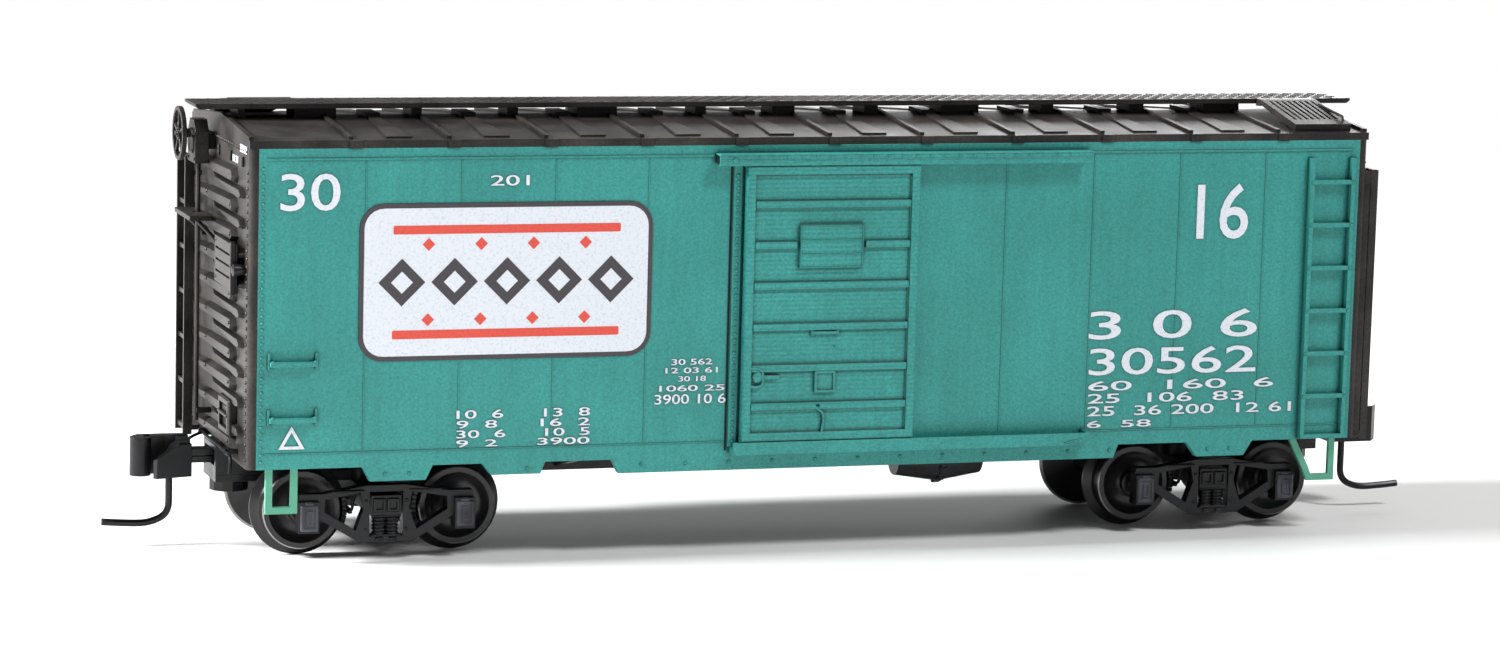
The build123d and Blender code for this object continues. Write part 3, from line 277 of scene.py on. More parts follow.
def join(name, pieces):
    """Joins pieces to one mesh."""
    only(pieces[0])
    for piece in pieces:
        piece.select_set(True)
    if len(pieces) > 1:
        bpy.ops.object.join()
    return named(name)


Row = namedtuple("Row", "first step count")


def rows(name, master, table):
    """Rows of copies of one small piece."""
    parts = [row(copied(master, line.first), line.step, line.count) for line in table]
    bpy.data.objects.remove(master)
    return join(name, parts)


def twin_name(name):
    for ending, other in (("_near", "_far"), ("_a", "_b"), ("_b", "_a")):
        if name.endswith(ending):
            return name.removesuffix(ending) + other
    return name + "_other"


SMOOTH_UNDER = radians(32)


def finish(piece, material, body="car"):
    """Gives a piece its finish and shading, and lets it ride on its body."""
    piece.data.materials.clear()
    piece.data.materials.append(material)
    only(piece)
    bpy.ops.object.shade_smooth_by_angle(angle=SMOOTH_UNDER)
    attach(piece, body)


def finish_pair(piece, material, body="car", twin_body=None):
    """Finishes a piece and its twin, half a turn away about the middle of the car."""
    twin = copied(piece, turn=pi, name=twin_name(piece.name))
    finish(piece, material, body)
    finish(twin, material, twin_body or body)


# Materials: a Mix node's colour inputs, and how often a wave texture repeats over one unit
MIX_FACTOR = 0
MIX_A = 6
MIX_B = 7
RGBA = {"data_type": "RGBA"}
MULTIPLY = {"operation": "MULTIPLY"}
WAVES_PER_UNIT = 3.18
# Which output of a node a link takes when it names none, where that isn't the first
USUAL_OUTPUTS = {"ShaderNodeMix": 2, "ShaderNodeTexWave": 1, "ShaderNodeAmbientOcclusion": 1}


def linear(hex_colour):
    """An sRGB hex colour as the linear values that a shader takes."""
    channels = [int(hex_colour[i : i + 2], 16) / 255 for i in (1, 3, 5)]
    return tuple(c / 12.92 if c <= 0.04045 else ((c + 0.055) / 1.055) ** 2.4 for c in channels) + (1.0,)


def per_mm(size):
    """The scale of a texture in Object coordinates whose features are this many millimetres apart."""
    return 1.0 / (size * MM)


def drawn_out(low, high):
    """Map Range values that draw the middle of a noise out between two others."""
    return {"From Min": 0.3, "From Max": 0.7, "To Min": low, "To Max": high}


def add(material, kind, inputs=None, settings=None):
    """Adds a node, or takes the one that has this name, with its settings and values. A value that is a node
    or an output is linked, and a hex colour is made linear."""
    nodes = material.node_tree.nodes
    node = nodes.get(kind) or nodes.new(kind)
    for name, value in (settings or {}).items():
        setattr(node, name, value)
    for name, value in (inputs or {}).items():
        if isinstance(value, bpy.types.Node):
            value = value.outputs[USUAL_OUTPUTS.get(value.bl_idname, 0)]
        if isinstance(value, bpy.types.NodeSocket):
            material.node_tree.links.new(value, node.inputs[name])
        else:
            node.inputs[name].default_value = linear(value) if isinstance(value, str) else value
    return node


def started(name):
    """A new material, what adds a node to it, and the Object coordinates that its patterns read."""
    material = bpy.data.materials.new(name)
    material.use_nodes = True
    put = partial(add, material)
    return material, put, put("ShaderNodeTexCoord").outputs["Object"]


def surfaced(put, colour, height, strength, depth, rounding, surface):
    """Ends a material: its relief, its rounded edges where it has them, and its surface."""
    relief = {"Height": height, "Strength": strength, "Distance": depth * MM}
    if rounding:
        relief["Normal"] = put("ShaderNodeBevel", {"Radius": rounding * MM}, {"samples": 4})
    bump = put("ShaderNodeBump", relief)
    put("Principled BSDF", {"Base Color": colour, "Normal": bump, **surface})


def teal_paint(name, line_pitch=None):
    """ABS shell sprayed with a satin teal model paint. The eye sees an even colour with a dry, fine mist,
    faint upright streaks from the spray passes, and painted shade that darkens its corners."""
    material, put, place = started(name)
    # The mist's droplets are near 0.05 mm, drawn at 0.16 mm so that the render shows them
    mist = put("ShaderNodeTexNoise", {"Vector": place, "Scale": per_mm(0.16), "Detail": 3.0})
    cloud = put("ShaderNodeTexNoise", {"Vector": place, "Scale": per_mm(9.0), "Detail": 2.0})
    tall = put("ShaderNodeMapping", {"Vector": place, "Scale": (1.0, 1.0, 0.08)})
    streak = put("ShaderNodeTexNoise", {"Vector": tall, "Scale": per_mm(0.5), "Detail": 2.0})
    tone = put("ShaderNodeMapRange", {"Value": cloud, "From Min": 0.35, "From Max": 0.65})
    coat = put("ShaderNodeMix", {MIX_FACTOR: tone, MIX_A: "#298680", MIX_B: "#2e908a"}, RGBA)
    speck = put("ShaderNodeMapRange", {"Value": mist, **drawn_out(0.80, 1.20)})
    sprayed = put("ShaderNodeMapRange", {"Value": streak, **drawn_out(0.95, 1.05)})
    tones = put("ShaderNodeMath", {0: speck, 1: sprayed}, MULTIPLY)
    # Painted shade: ambient occlusion darkens corners up to 0.3 mm wide
    corner = put("ShaderNodeAmbientOcclusion", {"Distance": 0.30 * MM}, {"samples": 6})
    painted_corner_shade = put("ShaderNodeMapRange", {"Value": corner, "From Min": 0.45, "From Max": 0.95, "To Min": 0.22})
    both = put("ShaderNodeMath", {0: tones, 1: painted_corner_shade}, MULTIPLY)
    colour = put("ShaderNodeVectorMath", {"Vector": coat, "Scale": both}, {"operation": "SCALE"})
    height = mist
    strength = 0.35
    if line_pitch:
        # Fine mould lines across the door's panels
        scale = per_mm(line_pitch) / WAVES_PER_UNIT
        lines = put("ShaderNodeTexWave", {"Vector": place, "Scale": scale, "Distortion": 0.4},
                    {"bands_direction": "Z"})
        height = put("ShaderNodeMath", {0: mist, 1: lines}, {"operation": "ADD"})
        strength = 0.9
    surfaced(put, colour, height, strength, 0.02, 0.09,
             {"Roughness": 0.48, "IOR": 1.5, "Specular IOR Level": 0.5})
    return material


def dusty_black_paint(name):
    """Black model paint, sprayed and dried matt. The eye sees a warm near-black that greys where light
    grazes it, a fine grain, paler dust in random patches, and painted shade that darkens its inner corners,
    so the crests of its ribs look paler."""
    material, put, place = started(name)
    grain = put("ShaderNodeTexNoise", {"Vector": place, "Scale": per_mm(0.2), "Detail": 3.0})
    dust = put("ShaderNodeTexNoise", {"Vector": place, "Scale": per_mm(3.5), "Detail": 4.0})
    tone = put("ShaderNodeMapRange", {"Value": dust, "From Min": 0.35, "From Max": 0.7})
    coat = put("ShaderNodeMix", {MIX_FACTOR: tone, MIX_A: "#1e1c1c", MIX_B: "#3a3633"}, RGBA)
    speck = put("ShaderNodeMapRange", {"Value": grain, **drawn_out(0.75, 1.25)})
    # Painted shade: ambient occlusion darkens the inner corners, up to 0.9 mm wide, towards black
    corner = put("ShaderNodeAmbientOcclusion", {"Distance": 0.9 * MM}, {"samples": 6})
    painted_corner_shade = put("ShaderNodeMath", {0: speck, 1: corner}, MULTIPLY)
    colour = put("ShaderNodeVectorMath", {"Vector": coat, "Scale": painted_corner_shade}, {"operation": "SCALE"})
    sheen = put("ShaderNodeMapRange", {"Value": dust, **drawn_out(0.34, 0.46)})
    surfaced(put, colour, grain, 0.3, 0.02, 0.07,
             {"Roughness": sheen, "IOR": 1.5, "Specular IOR Level": 0.25})
    return material


def black_acetal(name, dark="#0e0e10", light="#18181c"):
    """Moulded black acetal, unpainted. The eye sees a waxy, slightly blue black with soft bright edges."""
    material, put, place = started(name)
    flow = put("ShaderNodeTexNoise",
               {"Vector": place, "Scale": per_mm(1.8), "Detail": 3.0, "Distortion": 0.6})
    grain = put("ShaderNodeTexNoise", {"Vector": place, "Scale": per_mm(0.25), "Detail": 2.0})
    tone = put("ShaderNodeMapRange", {"Value": flow, "From Min": 0.35, "From Max": 0.65})
    colour = put("ShaderNodeMix", {MIX_FACTOR: tone, MIX_A: dark, MIX_B: light}, RGBA)
    sheen = put("ShaderNodeMapRange", {"Value": flow, **drawn_out(0.26, 0.38)})
    surfaced(put, colour, grain, 0.2, 0.02, 0.07,
             {"Roughness": sheen, "IOR": 1.48, "Specular IOR Level": 0.3})
    return material


def green_acetal(name):
    """Moulded light green acetal of the steps. The eye sees a clean, slightly see-through mint green."""
    material, put, place = started(name)
    flow = put("ShaderNodeTexNoise", {"Vector": place, "Scale": per_mm(0.9), "Detail": 2.0})
    colour = put("ShaderNodeMix", {MIX_FACTOR: flow, MIX_A: "#489b7d", MIX_B: "#5da98f"}, RGBA)
    edge = put("ShaderNodeBevel", {"Radius": 0.08 * MM}, {"samples": 4})
    put("Principled BSDF", {
        "Base Color": colour, "Normal": edge, "Roughness": 0.38, "IOR": 1.48,
        "Subsurface Weight": 0.15, "Subsurface Radius": (0.3 * MM, 0.5 * MM, 0.35 * MM),
    })
    return material


def turned_brass(name, mark_pitch, wander, patch_size, dark, light, strength, surface):
    """Turned brass. Lathe marks run round the wheel, so they repeat across it, coarser than real ones."""
    material, put, place = started(name)
    scale = per_mm(mark_pitch) / WAVES_PER_UNIT
    marks = put("ShaderNodeTexWave", {"Vector": place, "Scale": scale, "Distortion": wander},
                {"bands_direction": "Y"})
    patch = put("ShaderNodeTexNoise", {"Vector": place, "Scale": per_mm(patch_size), "Detail": 3.0})
    colour = put("ShaderNodeMix", {MIX_FACTOR: patch, MIX_A: dark, MIX_B: light}, RGBA)
    surfaced(put, colour, marks, strength, 0.01, None, surface)
    return material


def drawn_steel(name, dark, light, rough):
    """Drawn or rolled steel. The eye sees a tight metal shine broken by fine scratches along the piece."""
    material, put, place = started(name)
    along = put("ShaderNodeMapping", {"Vector": place, "Scale": (0.1, 1.0, 1.0)})
    scratch = put("ShaderNodeTexNoise", {"Vector": along, "Scale": per_mm(0.12), "Detail": 3.0})
    colour = put("ShaderNodeMix", {MIX_FACTOR: scratch, MIX_A: dark, MIX_B: light}, RGBA)
    surfaced(put, colour, scratch, 0.2, 0.01, None, {"Roughness": rough, "Metallic": 1.0})
    return material


def printing_ink(name, colour, shade):
    """Pad-printed ink. The eye sees a flat, slightly chalky film that thins into the paint's grain."""
    material, put, place = started(name)
    thin = put("ShaderNodeTexNoise", {"Vector": place, "Scale": per_mm(0.18), "Detail": 3.0})
    cover = put("ShaderNodeMapRange", {"Value": thin, "From Min": 0.3, "From Max": 0.5})
    film = put("ShaderNodeMix", {MIX_FACTOR: cover, MIX_A: shade, MIX_B: colour}, RGBA)
    surfaced(put, film, thin, 0.3, 0.02, None, {"Roughness": 0.55, "IOR": 1.5})
    return material


teal = teal_paint("teal_sprayed_abs")
teal_lined = teal_paint("teal_sprayed_abs_fine_lines", line_pitch=0.30)
black = dusty_black_paint("black_sprayed_abs_dusty")
acetal = black_acetal("black_moulded_acetal")
# A lighter copy of the black acetal for the journal lids: painted highlight on their raised cast detail
lid_painted_highlight = black_acetal("rubbed_black_acetal", dark="#2b2b31", light="#484852")
mint = green_acetal("mint_moulded_acetal")
# Wheels, chemically blackened. The eye sees a dark metal with fine lathe marks and a soft shine.
brass = turned_brass("blackened_turned_brass", 0.12, 0.6, 0.8, "#141315", "#262427", 0.15,
                     {"Roughness": 0.3, "Metallic": 0.35, "Specular IOR Level": 0.6})
# The same wheels' bright bare metal, for thin rings at the flange tip and the rim's outer edge. The eye sees
# thin bright rings of bare metal: painted highlight that stands in for the highlight lines along these edges,
# while the tread between them stays black.
edge_highlight = turned_brass("worn_wheel_tread", 0.1, 0.8, 0.5, "#6a6867", "#a9a6a4", 0.2,
                     {"Roughness": 0.34, "Metallic": 1.0})
wire = drawn_steel("blackened_steel_wire", "#1d1c1d", "#3b3a3c", 0.32)
ballast = drawn_steel("rolled_steel_plate", "#77787a", "#97989a", 0.42)
white_ink = printing_ink("white_pad_print", "#dde1ea", "#c8d2da")
red_ink = printing_ink("red_pad_print", "#dc4f40", "#c9483c")
dark_ink = printing_ink("dark_pad_print", "#413d42", "#37353a")

# Which CAD nodes take which finish, by the start of their names. All the others are black acetal.
NODE_FINISHES = {
    ("side_", "door_track"): teal,
    ("door_near", "door_far"): teal_lined,
    ("step_",): mint,
    ("roof", "running_board", "corner_platform", "end_", "placard_board"): black,
    ("brake_wheel", "brake_housing", "brake_platform"): black,
    ("ballast_plate",): ballast,
}


def dress_nodes():
    """Gives every CAD node its finish."""
    for name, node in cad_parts.items():
        node.data.materials.clear()
        finishes = [material for starts, material in NODE_FINISHES.items() if name.startswith(starts)]
        node.data.materials.append(finishes[0] if finishes else acetal)


# Sides: seam laps, weld lines and rivets, all shallower than the gap under the sliding door
RIVET_PITCH = 0.45
SEAM_PITCH = 6.30
SEAM_FIRST_X = 12.50
SEAMS_EACH_SIDE = 4
SEAM_LOW = 7.75
SEAM_HIGH = 26.45
UPPER_WELD_Z = 26.62
LOWER_SEAM_Z = 7.61


def rivet(towards, radius=0.13, height=0.09):
    """One low domed rivet, with a face count that suits hundreds of copies."""
    rings = ((-0.03, radius), (height * 0.4, radius), (height, radius * 0.55))
    return turned("rivet", (0, 0, 0), towards, rings, sides=6)


def side_rivets():
    """Rivets up both edges, on the sill's tabs, along the sill and up the door post."""
    face = -SIDE_FACE
    edge_x = side_high.x - 0.30
    upright = (0, 0, RIVET_PITCH)
    count = int((SEAM_HIGH - side_low.z - 1.2) / RIVET_PITCH)
    table = [Row((x, face, 7.1), upright, count) for x in (-edge_x, edge_x)]
    table += [Row((x, face, 6.12), (1.6, 0, 0), 2) for x in (-29.9, 27.9)]
    table += [
        Row((-20.4, face, 6.2), (1, 0, 0), 1),
        Row((-12.6, face, 6.25), (3.02, 0, 0), 12),
        Row((-6.47, -POST_FACE, 7.7), (0, 0, 0.42), 43),
    ]
    return rows("side_rivets_near", rivet("-y"), table)


def side_seams():
    """Lapped panel edges, the weld line under the eave and the seam above the sill."""
    half = side_high.x - 0.5
    face = -SIDE_FACE
    lap = plate("lap", (-0.05, 0.05), (SEAM_LOW, SEAM_HIGH), face, 0.035, edge=0.015)
    pieces = []
    for side in (-1, 1):
        first = copied(lap, (side * SEAM_FIRST_X, 0, 0))
        pieces.append(row(first, (side * SEAM_PITCH, 0, 0), SEAMS_EACH_SIDE))
    bpy.data.objects.remove(lap)
    weld_z = (UPPER_WELD_Z - 0.08, UPPER_WELD_Z + 0.08)
    for xs in ((-half, track_low.x), (track_high.x, half)):
        pieces.append(plate("weld", xs, weld_z, face, 0.11, edge=0.07))
    seam_z = (LOWER_SEAM_Z - 0.04, LOWER_SEAM_Z + 0.04)
    for xs in ((-half, door_low.x - 1.0), (rail_high.x, half)):
        pieces.append(plate("seam", xs, seam_z, face, 0.06, edge=0.02))
    return join("side_seams_near", pieces)


def painted_gap_shadows():
    """Black bars set into the track channel's open end and along the joint beside the door post: painted
    shadow for the shade in these gaps.
    """
    mouth = bar("mouth", (track_low.x - 0.03, -TRACK_FACE + 0.10, track_low.z + 0.12),
                (track_low.x + 0.2, -SIDE_FACE - 0.10, track_high.z - 0.10), edge=0.02)
    joint = plate("joint", (-6.92, -6.80), (rail_low.z + 0.2, track_low.z), -SIDE_FACE, 0.02, edge=0.01)
    return join("dark_gaps_near", [mouth, joint])


# How far it is up to the next grab iron and to the next rung, and how many rungs there are
IRON_STEP = (0, 0, 3.64)
RUNG_STEP = (0, 0, 2.96)
RUNGS = 6


def iron_feet():
    """The upright plates that the two grab irons end on."""
    foot = plate("foot", (-0.09, 0.09), (-0.55, 0.55), -SIDE_FACE, 0.16)
    table = [Row((x, 0, 10.0), IRON_STEP, 2) for x in (irons_low.x - 0.02, irons_high.x + 0.02)]
    return rows("iron_feet_near", foot, table)


def ladder_bolts():
    """Bolt heads where rungs and irons meet their feet."""
    bolt = rivet("-y", radius=0.13, height=0.07)
    inset = 0.15
    ladder_x = (ladder_low.x + inset, ladder_high.x - inset)
    iron_x = (irons_low.x + inset, irons_high.x - inset)
    table = [Row((x, -LADDER_FACE, 9.66), RUNG_STEP, RUNGS) for x in ladder_x]
    table += [Row((x, -LADDER_FACE + 0.02, 9.98), IRON_STEP, 2) for x in iron_x]
    return rows("ladder_bolts_near", bolt, table)


# Door: placards, latch, handle and the bent lock rod
PLACARD_LINES_Z = (19.28, 20.15, 21.08, 22.02)
PLACARD_EDGES_X = (-2.24, 2.04)


def door_fittings():
    face = -DOOR_FACE
    small = plate("small_placard", (-1.02, 0.43), (10.87, 12.34), face, 0.24, edge=0.05)
    raise_face(small, (0, -1, 0), 0.12, -0.10)
    handle = bar("door_handle", (-1.31, face - 0.26, 14.78), (0.59, face - 0.12, 14.98))
    feet = [plate("foot", (x, x + 0.24), (14.66, 15.10), face, 0.2, edge=0.05) for x in (-1.36, 0.38)]
    hub_rings = ((-0.1, 0.42), (0.14, 0.42), (0.22, 0.30), (0.30, 0.16))
    hub = turned("latch_hub", (-4.95, face, 12.0), "-y", hub_rings)
    lever = plate("latch_lever", (-4.9, -3.5), (11.84, 12.12), face, 0.24, edge=0.05)
    narrowed(lever, (1, 0, 0), "z", 0.5)
    hasp_line = ((-5.9, 0.12, 12.55), (-5.2, 0.2, 12.6), (-4.7, 0.2, 12.5), (-4.6, 0.2, 11.9),
                 (-4.7, 0.2, 11.4), (-5.3, 0.2, 11.3), (-5.9, 0.12, 11.5))
    hasp = swept("latch_hasp", off_face(face, hasp_line), 0.09)
    eye = turned("lock_eye", (-0.75, face, 10.0), "-y", ((-0.1, 0.26), (0.16, 0.26), (0.22, 0.14)), 10)
    lock_line = ((-0.85, 0.12, 10.1), (-0.8, 0.15, 9.75), (-0.4, 0.15, 9.6), (-0.32, 0.15, 9.2),
                 (-0.34, 0.14, 8.7), (-0.46, 0.12, 8.1))
    lock_rod = swept("lock_rod", off_face(face, lock_line), 0.09)
    pieces = [small, handle, *feet, hub, lever, hasp, eye, lock_rod]
    # The large placard's beads: two at its top and bottom, two across it and two up its edges
    panel = door_low.y
    for z in PLACARD_LINES_Z:
        pieces.append(plate("bead", (-2.2, 2.0), (z - 0.035, z + 0.035), panel, 0.045, edge=0.02))
    for x in PLACARD_EDGES_X:
        pieces.append(plate("bead", (x - 0.04, x + 0.04), (19.25, 22.05), panel, 0.05, edge=0.02))
    stile_x = (door_high.x - 0.62, door_high.x - 0.50)
    pieces.append(plate("stile_line", stile_x, (8.2, 25.3), face, 0.10, edge=0.03))
    bolts = [Row((0.4, face, 13.9), (1, 0, 0), 1), Row((-1.2, face - 0.2, 14.88), (1.68, 0, 0), 2)]
    pieces.append(rows("bolts", rivet("-y", 0.1, 0.06), bolts))
    return join("door_fittings_near", pieces)


# Door tracks: a rivet row, a bead, a cap and a notch on the upper, and a stop on the lower
def track_details():
    face = -TRACK_FACE
    middle = (track_low.z + track_high.z) / 2
    whole = (track_low.x, track_high.x)
    bead = plate("bead", whole, (middle - 0.05, middle + 0.03), face, 0.03, edge=0.02)
    cap = plate("cap", whole, (track_high.z - 0.10, track_high.z + 0.02), face, 0.04)
    notch_rings = ((-0.1, 0.17), (0.05, 0.17), (0.09, 0.1))
    notch = turned("track_notch", (track_low.x + 1.05, face, middle), "-y", notch_rings, 10)
    count = int(track_high.x - track_low.x - 1.2)
    line = Row((track_low.x + 0.7, face, middle + 0.19), (1.0, 0, 0), count)
    dots = rows("dots", rivet("-y", 0.12, 0.04), [line])
    # The stop is a three-sided wedge, turned to point along the rail and pressed flat
    stop = turned("stop", (0, 0, 0), "-y", ((-0.1, 1.0), (0.04, 1.0), (0.04, 0.55), (0.01, 0.5)), 3)
    moved(stop, turn=-pi / 2, axis="Y")
    stop.data.transform(Matrix.Diagonal((0.85, 1, 0.30, 1)))
    moved(stop, (rail_high.x - 0.95, face, 7.03))
    return join("track_details_near", [bead, cap, notch, dots, stop])


# Printing: plain numbers and a plain panel, none of them a name or a mark
INK_THICK = 0.06
INK_FACE = -SIDE_FACE - 0.065
Print = namedtuple("Print", "text x0 z0 x1 z1")
WHITE_PRINTS = (
    Print("30", -37.0, 23.3, -33.1, 25.7),
    Print("16", 26.4, 20.6, 30.2, 24.4),
    Print("201", -23.2, 24.8, -20.6, 25.48),
    Print("3 0 6", 18.8, 13.85, 31.2, 15.8),
    Print("30562", 18.9, 11.4, 31.2, 13.25),
    Print("60  160  6", 18.9, 10.34, 32.6, 11.0),
    Print("25  106  83", 18.9, 9.48, 30.4, 10.14),
    Print("25  36 200  12 61", 18.9, 8.6, 34.0, 9.28),
    Print("6  58", 18.9, 7.8, 23.6, 8.3),
    Print("10  6     13  8", -25.2, 9.6, -16.2, 10.16),
    Print(" 9  8     16  2", -25.2, 8.96, -16.2, 9.48),
    Print("30  6     10  5", -25.2, 8.32, -16.2, 8.84),
    Print(" 9  2     3900", -25.2, 7.74, -16.2, 8.2),
    Print("30 562", -10.7, 12.8, -7.9, 13.2),
    Print("12 03 61", -11.1, 12.25, -7.5, 12.62),
    Print("30 18", -10.2, 11.7, -8.3, 12.05),
    Print("1060 25", -11.5, 11.05, -7.0, 11.45),
    Print("3900 10 6", -11.8, 10.2, -6.9, 10.85),
)
EMBLEM_X0, EMBLEM_X1 = -31.80, -12.20
EMBLEM_Z0, EMBLEM_Z1 = 13.50, 23.70
DIAMOND_PITCH = 3.5


def flat(name, low, high, corner, lift):
    """A flat film on the near side with rounded corners, between two (x, z) places."""
    (x0, z0), (x1, z1) = low, high
    bpy.ops.mesh.primitive_plane_add(size=1.0, rotation=(pi / 2, 0, 0))
    piece = bpy.context.active_object
    piece.location = Vector(((x0 + x1) / 2, INK_FACE - lift, (z0 + z1) / 2)) * MM
    piece.scale = ((x1 - x0) * MM, (z1 - z0) * MM, 1)
    named(name)
    edit_all()
    bpy.ops.mesh.bevel(offset=corner * MM, segments=6, affect="VERTICES")
    edit_done()
    return piece


def cornered(name, sides, x, z, radius, lift):
    """A flat film on the near side with a few equal sides and its first corner at the top."""
    turn = (pi / 2, 0, 0)
    bpy.ops.mesh.primitive_circle_add(vertices=sides, radius=radius * MM, fill_type="NGON", rotation=turn)
    bpy.context.active_object.location = Vector((x, INK_FACE - lift, z)) * MM
    return named(name)


def diamond(name, x, z, radius, lift):
    """A flat square film that stands on its corner."""
    piece = cornered(name, 4, x, z, radius, lift)
    edit_all()
    bpy.ops.mesh.inset(thickness=0.02 * MM, depth=0)
    edit_done()
    return piece


def numbers(entry):
    """One line of plain numbers, fitted between its corners."""
    bpy.ops.object.text_add()
    piece = bpy.context.active_object
    piece.data.body = entry.text
    piece.data.offset = 0.006
    piece.data.resolution_u = 4
    bpy.ops.object.convert(target="MESH")
    piece = bpy.context.active_object
    xs = [corner[0] for corner in piece.bound_box]
    zs = [corner[1] for corner in piece.bound_box]
    wide = (entry.x1 - entry.x0) * MM / (max(xs) - min(xs))
    tall = (entry.z1 - entry.z0) * MM / (max(zs) - min(zs))
    piece.scale = (wide, tall, 1)
    piece.rotation_euler = (pi / 2, 0, 0)
    piece.location = (entry.x0 * MM - wide * min(xs), INK_FACE * MM, entry.z0 * MM - tall * min(zs))
    return named("numbers")


def filmed(piece):
    """Gives a flat film its thickness, inwards from its face."""
    only(piece)
    film = piece.modifiers.new("film", "SOLIDIFY")
    film.thickness = INK_THICK * MM
    film.offset = -1
    bpy.ops.object.modifier_apply(modifier=film.name)
    return piece


def blank_triangle():
    """The small outlined triangle near the corner, left blank inside."""
    piece = cornered("blank_triangle", 3, -36.1, 8.4, 1.0, 0.0)
    bpy.ops.object.mode_set(mode="EDIT")
    bpy.ops.mesh.select_mode(type="FACE")
    bpy.ops.mesh.select_all(action="SELECT")
    bpy.ops.mesh.inset(thickness=0.2 * MM, depth=0)
    bpy.ops.mesh.delete(type="FACE")
    edit_done()
    return piece


def end_prints():
    """Two small lines of plain numbers above the ribs of end a, drawn on the near side and then turned."""
    upper = filmed(numbers(Print("30562", 6.5, 26.85, 8.5, 27.35)))
    lower = filmed(numbers(Print("16 30", 4.3, 26.0, 5.9, 26.45)))
    piece = moved(join("end_prints_a", [upper, lower]), turn=-pi / 2)
    return moved(piece, (SIDE_FACE - END_FACE, 0, 0))


def side_prints():
    """The plain panel with its marks, and the lines of numbers, in three inks that lie over one another."""
    middle_x = (EMBLEM_X0 + EMBLEM_X1) / 2
    middle_z = (EMBLEM_Z0 + EMBLEM_Z1) / 2
    field = flat("field", (EMBLEM_X0 + 0.3, EMBLEM_Z0 + 0.3), (EMBLEM_X1 - 0.3, EMBLEM_Z1 - 0.3), 1.3, 0.02)
    white = [filmed(numbers(entry)) for entry in WHITE_PRINTS] + [filmed(field), filmed(blank_triangle())]
    dark = [filmed(flat("outline", (EMBLEM_X0, EMBLEM_Z0), (EMBLEM_X1, EMBLEM_Z1), 1.6, 0.0))]
    for i in range(-2, 3):
        dark.append(filmed(diamond("diamond", middle_x + i * DIAMOND_PITCH, middle_z, 1.55, 0.04)))
    inner = filmed(diamond("inner", middle_x - 2 * DIAMOND_PITCH, middle_z, 0.72, 0.06))
    white.append(row(inner, (DIAMOND_PITCH, 0, 0), 5))
    red = []
    for z, inwards in ((EMBLEM_Z0 + 1.7, 0.95), (EMBLEM_Z1 - 1.7, -0.95)):
        red.append(filmed(flat("line", (EMBLEM_X0 + 2.2, z - 0.28), (EMBLEM_X1 - 2.2, z + 0.28), 0.1, 0.04)))
        small = filmed(diamond("small", middle_x - 1.5 * DIAMOND_PITCH, z + inwards, 0.42, 0.04))
        red.append(row(small, (DIAMOND_PITCH, 0, 0), 4))
    finish_pair(join("white_prints_near", white), white_ink)
    finish_pair(join("dark_prints_near", dark), dark_ink)
    finish_pair(join("red_prints_near", red), red_ink)


# Roof: bolts on the seam caps, the board's pressed grip and the wire beside each corner platform
ROOF_PANELS = 12
CAP_WIDTH = 0.30
GRIP_PITCH = 0.95
GRIP_LINES = 5
GRIP_LINE_STEP = 0.66
GRIP_TURN = radians(38)


def seam_x(number):
    return -END_FACE + number * (2 * END_FACE - CAP_WIDTH) / ROOF_PANELS


def roof_bolts():
    """Bolts on the lugs at the eave, one for each seam."""
    step = seam_x(1) - seam_x(0)
    bolt = rivet("-y", radius=0.14, height=0.06)
    line = Row((seam_x(1) + 0.42, roof_low.y, EAVE_Z + 0.25), (step, 0, 0), ROOF_PANELS - 1)
    return rows("roof_bolts_near", bolt, [line])


def board_grip():
    """Slanted pressed bars on the walkway, in staggered rows."""
    top = board_high.z
    grip = bar("grip", (-0.34, -0.06, top - 0.05), (0.34, 0.06, top + 0.04), edge=0.03)
    only(grip)
    edit_all()
    bpy.ops.transform.rotate(value=GRIP_TURN, orient_axis="Z", center_override=(0, 0, top * MM))
    edit_done()
    count = int((board_high.x - board_low.x - 1.2) / GRIP_PITCH)
    table = []
    for line in range(GRIP_LINES):
        x = board_low.x + 0.7 + (line % 2) * GRIP_PITCH / 2
        table.append(Row((x, -1.32 + line * GRIP_LINE_STEP, 0), (GRIP_PITCH, 0, 0), count))
    return rows("board_grip", grip, table)


def platform_wire():
    """The grab wire that stands over each corner platform."""
    top = platform_high.z + 0.02
    x = platform_high.x - 0.25
    foot = platform_low.z + 0.35
    line = ((-3.2, top - 0.9), (-3.2, top - 0.28), (-3.5, top - 0.26), (-7.3, foot + 0.55),
            (-7.6, foot + 0.5), (-7.6, foot))
    rail = swept("rail", [(x, y, z) for y, z in line], 0.10)
    leg = swept("leg", [(x, -5.4, top - 1.1), (x, -5.4, top - 0.5)], 0.09)
    return join("platform_wire_b", [rail, leg])


# Ends: rivets, brackets, placard, cut lever and ladder legs, and at end a what the hand brake needs
def end_rivets():
    """Rivets up both edges of an end sheet, along its top and on its ribs, drawn at end a."""
    face = -END_FACE
    table = [Row((face, y, 7.2), (0, 0, 0.5), 38) for y in (-8.75, 8.75)]
    table.append(Row((face, -8.3, 27.05), (0, 0.6, 0), 28))
    table += [Row((face - 0.45, y, 7.9), (0, 0, 1.93), 9) for y in (1.9, -5.4)]
    return rows("end_rivets_a", rivet("-x"), table)


def end_top_brackets():
    """Small upright stiffeners on the flat panel above the ribs."""
    stiffener = bar("stiffener", (-END_FACE - 0.16, -0.12, 25.95), (-END_FACE + 0.1, 0.12, 26.6), edge=0.05)
    table = [Row((0, -7.4, 0), (0, 3.7, 0), 3), Row((0, 5.6, 0), (0, 1, 0), 1)]
    return rows("end_brackets_a", stiffener, table)


